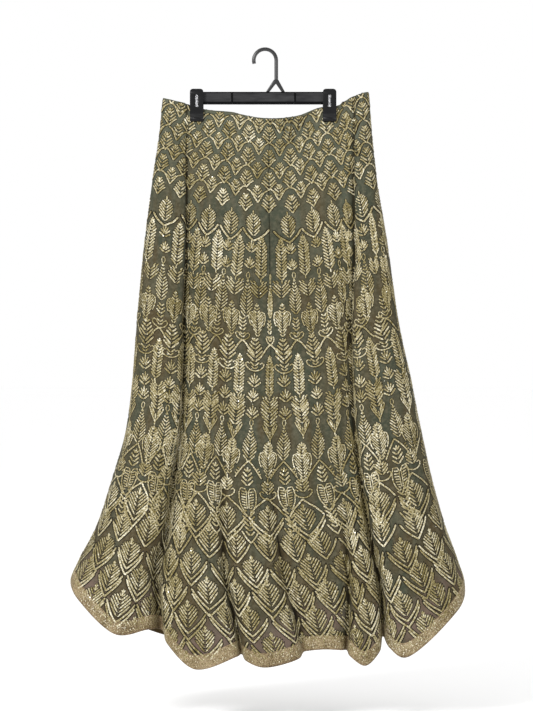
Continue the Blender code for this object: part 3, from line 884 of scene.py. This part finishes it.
def build_cloth():
    net_levels = np.linspace(0, BORDER_TOP + NET_OVERLAP, NET_ROWS)
    border_levels = np.linspace(BORDER_TOP - BORDER_OVERLAP, 1, BORDER_ROWS_DOWN)
    panels = [
        ("front_left", front, np.linspace(-1, -CENTRE_SEAM, 165)),
        ("front_right", front, np.linspace(CENTRE_SEAM, 1, 165)),
        ("back", back, np.linspace(-1, 1, 230)),
    ]
    sheets = {}
    for place, face, across in panels:
        name, node = "net_" + place, "skirt_" + place
        sheets[name] = sheet_piece(
            name, face, across, net_levels, 0.0, NET_WALL, NET, [node]
        )
    across = np.linspace(-1, 1, BORDER_COLUMNS)
    for side, face in FACES:
        name, node = "hem_edging_" + side, "hem_border_" + side
        sheets[name] = sheet_piece(
            name, face, across, border_levels, BORDER_LIFT, BORDER_WALL, BORDER, [node]
        )
    return sheets


LINING_ROWS = 90
LINING_COLUMNS = 141
LINING_START = 0.006
LINING_WALL = 0.0006
LINING_RIPPLES = ((21.0, 1.1), (34.0, 0.7), (9.0, 1.4))


def lining_piece(side, panel):
    """The plain lining, whose soft upright folds deepen towards its hem."""
    across = np.linspace(0, 1, LINING_COLUMNS)
    levels = np.linspace(LINING_START, LINING_END, LINING_ROWS)
    spots = np.array([lining_row(panel, v, across) for v in levels])
    quiet = ease((0.5 - abs(across - 0.5)) * 14)
    for count, depth in LINING_RIPPLES:
        wave = np.sin(count * across * 2 + depth * 7)[None, :] * levels[:, None] ** 1.5
        sunk = depth * MM * (1 + wave) * quiet * ease(levels * 3)[:, None]
        spots[:, :, 1] -= panel.facing * sunk
    mesh, row, column = grid_of("lining_" + side, len(levels), len(across), panel.facing)
    move_points(mesh, spots[row, column])
    piece = add_piece("satin_lining_" + side, mesh, LINING, ["lining_" + side])
    add_wall(piece, LINING_WALL)
    return piece


# Embroidery


BAR_POINTS = 4
CORD_POINTS = 9
Stroke = namedtuple("Stroke", "points width span", defaults=[0])


def bar(u0, w0, u1, w1, width=1.45, sag=0.0):
    """A short stitch that sags between its ends."""
    middle = ((u0 + u1) / 2, (w0 + w1) / 2 + sag)
    points = []
    for s in (0.0, 0.2, 0.78, 1.0):
        a, b, c = (1 - s) ** 2, 2 * s * (1 - s), s * s
        points.append((a * u0 + b * middle[0] + c * u1, a * w0 + b * middle[1] + c * w1))
    return Stroke(points, width)


def curve(points):
    """CORD_POINTS evenly spaced points on a smooth line through the given ones."""
    points = np.array(points, float)
    ends = 2 * points[0] - points[1], 2 * points[-1] - points[-2]
    points = np.concatenate([[ends[0]], points, [ends[1]]])
    at = np.linspace(0, len(points) - 3, 8 * len(points))
    first = np.minimum(at.astype(int), len(points) - 4)
    t = (at - first)[:, None]
    a, b, c, d = (points[first + i] for i in range(4))
    line = b + t * (c - a + t * (2 * a - 5 * b + 4 * c - d + t * (3 * (b - c) + d - a))) / 2
    run = np.concatenate([[0], np.cumsum(np.linalg.norm(np.diff(line, axis=0), axis=1))])
    steps = np.linspace(0, run[-1], CORD_POINTS)
    return np.column_stack([np.interp(steps, run, line[:, i]) for i in (0, 1)])


def cord(points, width=1.4, span=0):
    """A line of thread through the given points.

    With a span, the line is drawn wider or narrower, so that its ends reach half way to the
    next columns, which lie two spans apart in the chart.
    """
    return Stroke(curve(points), width, span)


def both(strokes):
    """The strokes and their mirror images."""
    return strokes + [Stroke([(-u, w) for u, w in s.points], s.width, s.span) for s in strokes]


def sized(strokes, size):
    return [Stroke([(u * size, w * size) for u, w in s.points], s.width, s.span) for s in strokes]


def chevrons(first, last, halves, rise, width=1.45, sag=0.5):
    """Nested V stitches whose points run down the middle line from first to last."""
    bars = []
    for w, half in zip(np.linspace(first, last, len(halves)), halves):
        bars.append(bar(0.0, w, half, w - rise * half, width, sag))
    return both(bars)


def scale_fan():
    """A fan of stitches in a close V of cord."""
    strokes = chevrons(5.6, 13.2, (4.4, 6.2, 7.2), 1.02, 1.45, 0.2)
    strokes += [bar(0, -0.6, 0, 5.4, 1.3)] + both([bar(0.1, 3.2, 2.9, -1.2, 1.25)])
    return strokes + both([cord([(0, 17.2), (2.3, 14.0), (5.0, 11.0), (8.2, 9.0)], 1.75)])


def arched_fan():
    """A fan whose V of cord bends over on both sides into the arches beside it."""
    strokes = chevrons(6.0, 12.8, (3.8, 5.2, 5.6), 1.05, 1.35, 0.2)
    strokes += [bar(0, 0.2, 0, 5.0, 1.2)] + both([bar(0.1, 3.8, 2.4, 0.0, 1.1)])
    wave = [(0, 17.2), (2.5, 13.2), (4.3, 9.7), (6.3, 7.0), (8.7, 5.6), (11.0, 5.3)]
    return strokes + both([cord(wave, 1.7, 10.6)])


def leaf():
    halves = (2.8, 4.9, 6.6, 7.9, 8.6, 8.5, 7.4)
    strokes = chevrons(7, 27, halves, 1.15, 1.4, 0.3)
    strokes += [bar(0, 0, 0, 5.6, 1.5)]
    bracket = [(0, 31.6), (3.6, 28.8), (8.0, 24.4), (12.0, 18.0)]
    return strokes + both([cord(bracket, 2.2, 12)])


def wheat(height=43.0, half=6.6, count=12):
    halves = [mix(3.0, half, min(1.0, i / 3)) for i in range(count)]
    strokes = chevrons(7, height, halves, 1.05, 1.65, 0.3)
    strokes += [bar(0, 0, 0, 5.2, 1.7)] + both([bar(0.5, 5.0, 2.2, 1.6, 1.3)])
    return strokes + [bar(0, height - 0.6, 0, height + 4, 1.3)]


def floret(size=1.0):
    strokes = [bar(0, 0, 0, 7.0, 1.3)]
    strokes += both([bar(0.2, 8.6, 3.1, 1.6, 1.4, 0.2), bar(0.1, 10.0, 5.6, 4.0, 1.5, 0.4)])
    strokes += both([bar(0.0, 13.0, 6.8, 7.4, 1.8, 0.5)])
    return sized(strokes, size)


def wings(size=1.0):
    """Feathered wings that meet in a point under an ear of wheat."""
    strokes = chevrons(6.6, 17.0, (5.6, 8.4, 10.2, 10.8), 1.0, 1.5, 0.5)
    strokes += both([bar(2.6, 2.4, 5.6, -1.0, 1.4), bar(5.8, 2.6, 8.8, -0.8, 1.4)])
    return sized(strokes, size)


def ring(middle, radius, width=1.1):
    """A small upright ring of cord."""
    (u, w), (across, up) = middle, radius
    turns = np.linspace(0, 2.2 * math.pi, 12)
    return [cord([(u + across * math.sin(t), w - up * math.cos(t)) for t in turns], width)]


def teardrop(top, bottom, half, count):
    """A ring of cord over a long leaf that is widest low down."""
    share = np.linspace(0, 1, count)
    halves = half * through((0, 0.3, 0.7, 0.88, 1), (0.18, 0.48, 0.96, 1, 0.84), share)
    strokes = ring((0, top - 4.4), (1.7, 3.3)) + chevrons(top + 2, bottom, halves, 1.2, 1.3, 0.3)
    return strokes + [bar(0, top - 1.2, 0, top + 1.4, 1.3)]


def bow(w, half, width=1.5):
    """Two loops of cord that spring from the middle line and turn back to it."""
    loop = [(0, w), (0.56, w - 1.4), (1.0, w - 5.0), (0.88, w - 7.8), (0.58, w - 7.4)]
    loop += [(0.34, w - 4.8), (0.12, w - 2.4)]
    return both([cord([(u * half, v) for u, v in loop], width)])


def hooks(w, half, width=1.55):
    """Two hooks of cord that swing out from the middle line and curl in at their ends."""
    hook = [(0, w), (0.5, w - 0.9), (0.95, w - 4.3), (1.0, w - 7.4), (0.74, w - 8.6)]
    hook += [(0.56, w - 6.8), (0.62, w - 5.0)]
    return both([cord([(u * half, v) for u, v in hook], width)])


def sprig_and_bow():
    """What hangs under a teardrop, down to the stems that part below it."""
    strokes = chevrons(4.4, 15.6, (3.0, 4.2, 4.8, 4.2), 1.0, 1.6) + bow(25.4, 7.4)
    strokes += chevrons(19.6, 22.6, (3.4, 2.6), 0.9, 1.4)
    stem = [(0, 25.4), (3.2, 28.6), (7.0, 34.8), (11.8, 41.5)]
    return strokes + both([cord(stem, 1.9, 12)])


def lobes(top, bottom, half, count):
    """Two round lobes side by side, each of slanting stitches under a curl of cord."""
    depth = bottom - top
    edge = [
        (0.6, top + 4.6),
        (half * 0.36, top + 0.9),
        (half * 0.74, top + 0.4),
        (half * 0.95, top + depth * 0.18),
        (half * 0.88, top + depth * 0.42),
        (half * 0.62, top + depth * 0.66),
    ]
    strokes = both([cord(edge, 1.35)])
    share = np.linspace(0, 1, count)
    halves = half * through((0, 0.2, 0.42, 0.7, 1), (0.46, 0.84, 0.95, 0.74, 0.34), share)
    return strokes + chevrons(top + 6.0, bottom, halves, 1.25, 1.2, 0.5)


def vase():
    strokes = chevrons(3.6, 10.4, (2.2, 3.2, 3.8), 1.0, 1.5) + [bar(0, 0, 0, 3, 1.5)]
    return strokes + lobes(8.6, 34, 8.8, 8)


def fern():
    halves = (3.6, 5.0, 6.6, 8.2, 9.2, 9.4)
    strokes = chevrons(3.6, 25, halves, 1.0, 1.85, 0.7) + [bar(0, 0, 0, 3, 1.5)]
    return strokes + chevrons(29, 32, (5.4, 3.8), 0.9, 1.6) + hooks(34, 9.2)


def plume():
    """Wide feathers and two petals under a small ear of wheat."""
    strokes = chevrons(6, 20, (8.6, 10.2, 10.2, 9.2, 7.0), 1.0, 1.75, 1.0)
    petal = [(0, 33), (2.6, 28.4), (6.2, 22.0), (7.6, 16.8), (5.4, 17.6), (2.4, 22.4), (0.8, 27)]
    strokes += both([cord(petal, 1.5), bar(1.2, 28, 5.4, 19.6, 1.5)])
    return strokes + [bar(0, 0, 0, 6, 1.4), bar(0, 24, 0, 31, 1.4), bar(0, 31, 0, 37, 1.5)]


def heart():
    strokes = chevrons(4.4, 13.6, (3.0, 4.6, 5.4, 5.4), 1.05, 1.85) + [bar(0, 0, 0, 4, 1.7)]
    return strokes + lobes(11.0, 37.6, 9.6, 8)


def lotus():
    """An opened bud on hooks of cord, at the foot of a heart."""
    strokes = chevrons(4, 14, (4.4, 6.6, 8.2, 7.6), 1.0, 1.75, 0.7)
    return strokes + hooks(19.8, 9.0, 1.7) + [bar(0, -3, 0, 4, 1.4)]


def parting_stems():
    stem = [(0, 0), (3.4, 4.2), (8.2, 11.0), (13.4, 20.0)]
    strokes = [cord(stem, 1.8, 16)]
    for i in range(3):
        fall = 2.7 * i
        strokes.append(bar(9.0 + 1.4 * i, 9.4 + fall, 11.6 + 1.2 * i, 7.4 + fall, 1.3))
    return both(strokes)


def finial():
    """A sprig, two pointed lobes with rungs, and a fishbone that ends in a V of cord."""
    strokes = chevrons(5, 18.6, (3.6, 5.2, 6.2, 6.7), 1.0, 1.85) + [bar(0, 0, 0, 4.4, 1.7)]
    lobe = [(0.3, 25.5), (2.8, 20.9), (6.2, 20.3), (8.3, 25.4), (8.1, 34), (5.4, 41), (0.6, 46)]
    strokes += both([cord(lobe, 1.5)])
    for i in range(8):
        w = 24.0 + 2.6 * i
        reach = float(through((20, 27, 35, 45), (6.0, 7.2, 6.4, 2.0), w))
        strokes += both([bar(1.4, w + 0.9, reach, w - 0.5, 1.3)])
    strokes += both([cord([(0.9, 24.5), (1.2, 32), (0.7, 42)], 1.1)])
    strokes += chevrons(49, 67, (7.0, 7.0, 6.4, 5.6, 5.0), 1.0, 1.9)
    return strokes + both([cord([(0, 74), (4.4, 69), (8.8, 61.5)], 1.9)])


def roof():
    """The double peak over a fan of the lattice's first row."""
    return both([cord([(0, 0), (4.0, 4.2), (9.4, 10.0), (15.0, 18.6)], 2.0, 16)])


def lattice_fan(under=2):
    """A pointed fan of long stitches, and the bowed V lines that lie under it."""
    halves = (3.0, 6.0, 8.8, 10.8, 12.0, 11.6)
    strokes = chevrons(6.6, 27.0, halves, 1.24, 1.6, 1.1)
    strokes += [bar(0, -1, 0, 6.6, 1.4)] + both([bar(0.1, 4.0, 1.9, 0.2, 1.1)])
    for i in range(under):
        line = [(0, 32.0), (5.2, 26.6), (11.0, 19.0), (15.4, 10.6)]
        line = [(u, w + (6.2 - 0.12 * u) * i) for u, w in line]
        strokes += both([cord(line, 2.2, 16)])
    return strokes


# Each tier of the embroidery: its motif, how far below the waist edge it starts, whether it lies
# on the columns of its grid (0) or between them (0.5), and how much of its width the front's
# middle column has, where the centre seam takes up the rest. At 0 that column is left out.
Tier = namedtuple("Tier", "motif start between middle grid", defaults=[1.0, "motifs"])
TIERS = [
    Tier(leaf(), 93.5, 0.0, 0),
    Tier(wheat(), 118, 0.5),
    Tier(floret(), 123.5, 0.0, 0),
    Tier(floret(0.95), 140.5, 0.0, 0),
    Tier(wings(), 163.5, 0.5),
    Tier(teardrop(9, 46, 7.4, 11), 154, 0.0, 0.4),
    Tier(sprig_and_bow(), 200, 0.0, 0.5),
    Tier(vase(), 186, 0.5),
    Tier(fern(), 220, 0.5),
    Tier(floret(1.15), 254, 0.5),
    Tier(floret(1.05), 270.5, 0.5),
    Tier(floret(1.12), 286, 0.5),
    Tier(teardrop(11, 44.5, 8.0, 10), 299, 0.5),
    Tier(parting_stems(), 343, 0.5),
    Tier(finial(), 349, 0.5),
    Tier(wheat(41.0, 6.0, 12), 236, 0.0, 0.75),
    Tier(wings(0.9), 279, 0.0),
    Tier(plume(), 288, 0.0),
    Tier(heart(), 322, 0.0),
    Tier(lotus(), 361, 0.0),
    Tier(roof(), 380.5, 0.0),
    Tier(lattice_fan(), 387, 0.0),
]
LATTICE_STARTS = (412, 437, 462.5, 488, 513.5, 539)
for number, start in enumerate(LATTICE_STARTS):
    fan = lattice_fan(2 if number else 1)
    TIERS.append(Tier(fan, start, 0.5 * (number % 2), grid="lattice"))
SCALE_ROWS = 9
SCALE_LAST = 77.5
SCALE_PITCH = 11.3
for number in range(SCALE_ROWS):
    fan = arched_fan() if number % 2 else scale_fan()
    start = SCALE_LAST - SCALE_PITCH * number
    TIERS.append(Tier(fan, start, 0.5 * (number % 2), grid="scales"))

WAIST_CLEAR = 0.0008
HEM_OVERLAP = 0.009
SIDE_CLEAR = 0.997
COLUMN_ROOM = {"scales": 19, "motifs": 20, "lattice": 28}
LEAST_SQUEEZE = 0.5
MOTIF_MIDDLE = 15
FARTHEST_ACROSS = 1.06
STROKE_SAMPLES = 41
LEAST_SAMPLES = 14


def columns_of(face, tier):
    """The places across of a tier's motifs on a face, and the middle one's number."""
    half = (len(face.columns[tier.grid][0].across) - 1) // 2
    numbers = [q + tier.between for q in range(-half, half + 1)]
    places = [float(face.column_at(tier.grid, q, tier.start + MOTIF_MIDDLE)) for q in numbers]
    if tier.between or face is back:
        return places, None
    if tier.middle == 0:
        del places[half]
        return places, None
    return places, half


def part_on_cloth(face, across, drop, half):
    """The part of a stroke that lies on the cloth, or nothing where it hardly does."""
    end = face.border_at(np.clip(across, -1, 1)) + HEM_OVERLAP
    beside = (SIDE_CLEAR - abs(across)) * half
    room = np.minimum(np.minimum(drop - WAIST_CLEAR, end - drop), beside)
    if room.min() > 0:
        return across, drop
    at = np.linspace(0, 1, len(drop))
    fine = np.linspace(0, 1, STROKE_SAMPLES)
    good = fine[np.interp(fine, at, room) > 0]
    if len(good) < LEAST_SAMPLES:
        return None
    kept = np.linspace(good[0], good[-1], len(at))
    return np.interp(kept, at, across), np.interp(kept, at, drop)


def lay_tier(face, tier, bars, cords):
    """Adds a tier's strokes, as places on the face with their width and shade."""
    places, middle_number = columns_of(face, tier)
    for i, middle in enumerate(places):
        size, lean = rng.uniform(0.95, 1.04), rng.gauss(0, 0.025)
        sway, fall = rng.gauss(0, 0.35), rng.gauss(0, 0.8)
        shade = rng.uniform(0.30, 0.70)
        if abs(middle) > FARTHEST_ACROSS:
            continue
        room = face.half(middle, (tier.start + MOTIF_MIDDLE) * STEP) / STEP
        before = room * (middle - places[i - 1]) if i else 2 * COLUMN_ROOM[tier.grid]
        after = room * (places[i + 1] - middle) if i + 1 < len(places) else before
        squeeze = min(1.0, max(LEAST_SQUEEZE, min(before, after) / COLUMN_ROOM[tier.grid]))
        if i == middle_number:
            squeeze = min(squeeze, tier.middle)
        for stroke in tier.motif:
            points = np.array(stroke.points) * size
            u = points[:, 0]
            if stroke.span:
                reach = np.where(u < 0, before, after) / 2 / stroke.span
                u = u * np.clip(reach, 0.4, 1.7)
            else:
                u = u * squeeze
            u = u + lean * points[:, 1] + sway
            drop = (tier.start + fall + points[:, 1]) * STEP
            half = face.half(middle, drop)
            kept = part_on_cloth(face, middle + u * STEP / half, drop, half)
            if kept is None:
                continue
            tone = min(1.0, max(0.0, shade + rng.gauss(0, 0.17)))
            kind = bars if len(points) == BAR_POINTS else cords
            kind.append((*kept, stroke.width * STEP * 0.5, tone))


STITCH_HEIGHT = 0.0011
STITCH_SINK = 0.0003
FLANK = 1.75
FLANK_MARGIN = 0.0008
BAR_TAPER = np.array([0.8, 1.0, 0.9, 0.4])
BAR_RISE = np.array([0.5, 1.0, 1.0, -0.25])
THINNEST_RISE = 0.75
RISE_PER_WIDTH = 160
LAY_SHIFT = 0.37


def stitch_mesh(name, face, strokes, taper, rise):
    """One mesh of raised stitches: each is a strip with a ridge along its middle."""
    across = np.array([s[0] for s in strokes])
    drop = np.array([s[1] for s in strokes])
    half = np.array([s[2] for s in strokes])[:, None] * taper[None, :]
    shade = np.array([s[3] for s in strokes])
    spots, outward = face.at(across, drop)
    along = np.gradient(spots, axis=1)
    along /= np.maximum(np.linalg.norm(along, axis=2), 1e-9)[:, :, None]
    beside = np.cross(outward, along)
    beside /= np.maximum(np.linalg.norm(beside, axis=2), 1e-9)[:, :, None]
    width = (half * FLANK + FLANK_MARGIN)[:, :, None] * beside
    base = spots - outward * STITCH_SINK
    lifted = STITCH_HEIGHT * rise * (THINNEST_RISE + half * RISE_PER_WIDTH)
    ridge = spots + outward * lifted[:, :, None]
    rows = np.stack([base + width, ridge, base - width], axis=1)
    count, stations = len(strokes), len(taper)
    mesh, row, column = grid_of(name, 3 * count, stations, parted=3)
    which, line = row // 3, row % 3
    move_points(mesh, rows[which, line, column])
    # The ridge's mark, with which the thread's material paints shade down each stitch's sides.
    top = (line == 1) * np.clip(rise, 0, 1)[column]
    mark_points(mesh, "stitch", np.stack([top, shade[which], shade[which] * 0], axis=1))
    lengths = np.linalg.norm(np.diff(spots, axis=1), axis=2)
    run = np.pad(np.cumsum(lengths, axis=1), ((0, 0), (1, 0)))
    beside_ridge = (line - 1) * half[which, column]
    lay = np.stack([run[which, column], beside_ridge, which * LAY_SHIFT % 1], axis=1)
    mark_points(mesh, "lay", lay)
    return mesh


def cord_ends():
    taper = np.ones(CORD_POINTS)
    taper[-1] = 0.5
    rise = np.full(CORD_POINTS, 0.9)
    rise[-1] = -0.25
    return taper, rise


def build_embroidery(face, side):
    bars, cords = [], []
    for tier in TIERS:
        lay_tier(face, tier, bars, cords)
    kinds = [("stitches_", bars, BAR_TAPER, BAR_RISE), ("cords_", cords, *cord_ends())]
    pieces = []
    for kind, strokes, taper, rise in kinds:
        mesh = stitch_mesh(kind + side, face, strokes, taper, rise)
        pieces.append(add_piece(kind + side, mesh, THREAD))
    return pieces, bars


# Sequins


def tilted(point, outward, size, lift, tilt):
    """Places a flat disc on the cloth, leaning a little to one side."""
    turn = Vector((0, 0, 1)).rotation_difference(Vector(outward)).to_matrix().to_4x4()
    lean = Matrix.Rotation(tilt, 4, Vector((rng.uniform(-1, 1), rng.uniform(-1, 1), 0)))
    move = Matrix.Translation(Vector(point) + Vector(outward) * lift)
    return move @ turn @ lean @ Matrix.Scale(size, 4)


SEQUIN_SHARE = 0.08
SEQUIN_LIFT = 0.0019
SEQUIN_RADII = (0.0005, 0.0010)
SEQUIN_CORNERS = 6
SHADE_STEP = 0.618
EDGE_FREE = 0.006


def build_sequins(face, side, bars):
    """Small discs caught in the stitches, most of them near a motif's middle line."""
    chosen = [b for b in bars if b[1].min() > EDGE_FREE and rng.random() < SEQUIN_SHARE]
    across = np.array([b[0][rng.choice((0, 1, 1, 2))] for b in chosen])
    drop = np.array([b[1][rng.choice((0, 1, 1, 2))] for b in chosen])
    spots, outward = face.at(across, drop)
    bm = bmesh.new()
    for spot, direction in zip(spots, outward):
        size = rng.uniform(*SEQUIN_RADII)
        place = tilted(spot, direction, size, SEQUIN_LIFT, rng.gauss(0, 0.3))
        bmesh.ops.create_circle(
            bm, cap_ends=True, segments=SEQUIN_CORNERS, radius=1.0, matrix=place
        )
    mesh = mesh_of("sequins_" + side, bm)
    shades = np.array([[1.0, (i * SHADE_STEP) % 1, 0.0] for i in range(len(chosen))])
    mark_points(mesh, "stitch", shades[np.arange(len(mesh.vertices)) // SEQUIN_CORNERS])
    return add_piece("sequins_" + side, mesh, SEQUIN)


BORDER_ROWS = 5
BORDER_PITCH = 0.0034
BORDER_STITCHED = 0.0225
BORDER_END = 0.995
BORDER_PLACES = np.array([0.0, 0.25, 0.75, 1.0])


def build_border_stitches(face):
    """Dense short stitches along the hem edging, slanting to and fro from row to row."""
    bars = []
    length = float(face.halves[-1].sum())
    count = int(length / BORDER_PITCH)
    for row in range(BORDER_ROWS):
        for i in range(count):
            share = (i + 0.5 * (row % 2) + rng.uniform(-0.25, 0.25)) / count
            across = -BORDER_END + 2 * BORDER_END * share
            slant = 0.5 * (1 if row % 2 else -1) + rng.gauss(0, 0.25)
            top = face.border_at(across)
            height = BORDER_STITCHED / BORDER_ROWS
            start = top - 0.001 + height * (row + rng.uniform(-0.1, 0.1))
            end = start + height * rng.uniform(0.85, 1.25)
            lean = slant * BORDER_PITCH / length * 2
            if abs(across) + abs(lean) > BORDER_END:
                continue
            drop = np.minimum(mix(start, end, BORDER_PLACES), top + BORDER_STITCHED)
            width = rng.uniform(0.0008, 0.0012)
            bars.append((across + lean * BORDER_PLACES, drop, width, rng.random()))
    return bars


# The hanger


def merged_copy(node):
    """A CAD node's shape with its loose triangles joined and its flat faces whole."""
    bm = bmesh.new()
    bm.from_mesh(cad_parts[node].data)
    bmesh.ops.remove_doubles(bm, verts=bm.verts, dist=1e-5)
    flat = math.radians(1)
    bmesh.ops.dissolve_limit(bm, angle_limit=flat, verts=bm.verts, edges=bm.edges)
    return bm


EDGE_ROUND = 0.0006
ROOT_ROUND = 0.0012
SPRING_ROUND = 0.00015
BEVELLED_FROM = math.radians(32)
SHARP_FROM = math.radians(50)


def softened_piece(name, node, bm, material, width=EDGE_ROUND):
    """A moulded piece that takes a CAD node's place, with its sharp edges rounded."""
    sharp = [e for e in bm.edges if e.is_manifold and e.calc_face_angle() > BEVELLED_FROM]
    bmesh.ops.bevel(
        bm,
        geom=sharp,
        offset=width,
        affect="EDGES",
        segments=3,
        profile=0.5,
        material=-1,
        clamp_overlap=True,
    )
    piece = add_piece(name, mesh_of(name, bm), material, [node])
    piece.data.set_sharp_from_angle(angle=SHARP_FROM)
    return piece


JAW_HALF = 0.0135
JAW_TOP = -0.0762
JAW_BOTTOM = -0.1420
TOP_ROUND = 0.0065
FOOT_ROUND = 0.0028
LIP_GROOVE = (-0.1312, -0.1322, -0.1336, -0.1346)
GROOVE_DEPTH = 0.0009
GROOVE_FROM = 0.008


def cut_across(bm, heights):
    for z in heights:
        everything = bm.verts[:] + bm.edges[:] + bm.faces[:]
        bmesh.ops.bisect_plane(bm, geom=everything, plane_co=(0, 0, z), plane_no=(0, 0, 1))


def round_jaw(bm, centre, facing):
    """Rounds a jaw's corners as seen from the front and sinks the groove over its lip."""
    turns = [1 - math.cos(math.radians(t)) for t in (20, 40, 60, 80)]
    heights = [JAW_TOP - TOP_ROUND * t for t in (*turns, 1.0)]
    heights += [JAW_BOTTOM + FOOT_ROUND * t for t in (*turns, 1.0)]
    cut_across(bm, [*heights, *LIP_GROOVE])
    for vertex in bm.verts:
        x, y, z = vertex.co
        narrow = 0.0
        for end, radius in ((JAW_TOP, TOP_ROUND), (JAW_BOTTOM, FOOT_ROUND)):
            over = 1 - abs(z - end) / radius
            if over > 0:
                narrow += radius * (1 - math.sqrt(max(0.0, 1 - over * over)))
        vertex.co.x = centre + (x - centre) * (1 - narrow / JAW_HALF)
        if LIP_GROOVE[2] - 1e-5 < z < LIP_GROOVE[1] + 1e-5 and y * facing > GROOVE_FROM:
            vertex.co.y -= facing * GROOVE_DEPTH


def jaw_piece(side, jaw, centre):
    facing = -1 if jaw == "front" else 1
    node = "clip_" + side + "_" + jaw + "_jaw"
    bm = merged_copy(node)
    round_jaw(bm, centre, facing)
    softened_piece("moulded_jaw_" + jaw + "_" + side, node, bm, CLIP_PLASTIC)


PANEL_FORWARD = 0.0040


def build_hanger():
    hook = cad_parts["hanger_hook"]
    hook.data.materials.clear()
    hook.data.materials.append(HOOK_PLASTIC)
    root = merged_copy("hanger_root")
    softened_piece("moulded_root", "hanger_root", root, HOOK_PLASTIC, width=ROOT_ROUND)
    bar_piece = softened_piece("moulded_bar", "hanger_bar", merged_copy("hanger_bar"), PLASTIC)
    bar_piece.data.materials.append(PANEL_PLASTIC)
    for polygon in bar_piece.data.polygons:
        sunk = abs(polygon.center.y) < PANEL_FORWARD and abs(polygon.normal.y) > 0.95
        polygon.material_index = int(sunk)
    for side, centre in zip(("left", "right"), CLIP_CENTRES):
        sleeve, spring = "clip_" + side + "_sleeve", "clip_" + side + "_spring"
        softened_piece("moulded_sleeve_" + side, sleeve, merged_copy(sleeve), CLIP_PLASTIC)
        jaw_piece(side, "front", centre)
        jaw_piece(side, "back", centre)
        name = "bright_spring_" + side
        softened_piece(name, spring, merged_copy(spring), STEEL, SPRING_ROUND)


# Studio


CAMERA_DISTANCE = 6.0
FRAME_HEIGHT = 711 * STEP
CAMERA_X = 0.003
CAMERA_Z = -0.609
SENSOR_WIDTH = 36
FLOOR_Z = -1.33
FLOOR_SIZE = 60.0


def add_light(name, place, aim, size, power):
    data = bpy.data.lights.new(name, "AREA")
    data.shape = "RECTANGLE"
    data.size, data.size_y = size
    data.energy = power
    lamp = linked(name, data)
    lamp.location = place
    lamp.rotation_euler = (Vector(aim) - Vector(place)).to_track_quat("-Z", "Y").to_euler()


def build_studio():
    scene = bpy.context.scene
    scene.view_settings.view_transform = "Standard"
    world = bpy.data.worlds.new("studio_world")
    world.use_nodes = True
    sky = world.node_tree.nodes["Background"]
    sky.inputs["Color"].default_value = (1.0, 1.0, 1.0, 1.0)
    sky.inputs["Strength"].default_value = 1.0
    scene.world = world
    add_light("key", (-1.9, -3.1, 1.1), (0, 0, -0.55), (1.2, 1.2), 150)
    add_light("fill", (2.6, -3.0, -0.2), (0, 0, -0.6), (1.8, 1.8), 28)
    bm = bmesh.new()
    bmesh.ops.create_grid(bm, x_segments=1, y_segments=1, size=FLOOR_SIZE)
    floor = linked("floor", mesh_of("floor", bm))
    floor.location = (0, 0, FLOOR_Z)
    floor.data.materials.append(floor_finish())
    lens = bpy.data.cameras.new("camera")
    lens.sensor_width = SENSOR_WIDTH
    lens.lens = SENSOR_WIDTH * CAMERA_DISTANCE / FRAME_HEIGHT
    camera = linked("camera", lens)
    camera.location = (CAMERA_X, -CAMERA_DISTANCE, CAMERA_Z)
    camera.rotation_euler = (math.pi / 2, 0, 0)
    scene.camera = camera


JAWS = ["moulded_jaw_front_left", "moulded_jaw_front_right"]
JAWS += ["moulded_jaw_back_left", "moulded_jaw_back_right"]


def main():
    build_studio()
    sheets = build_cloth()
    sheets["satin_lining_front"] = lining_piece("front", FRONT)
    sheets["satin_lining_back"] = lining_piece("back", BACK)
    for side, face in FACES:
        pieces, bars = build_embroidery(face, side)
        edging = build_border_stitches(face)
        mesh = stitch_mesh("edging_stitches_" + side, face, edging, BAR_TAPER, BAR_RISE)
        hem = add_piece("edging_stitches_" + side, mesh, THREAD)
        "hem_edging_" + side
        net = "net_back" if side == "back" else "net_front_left"
        build_sequins(face, side, bars)
    build_hanger()


main()
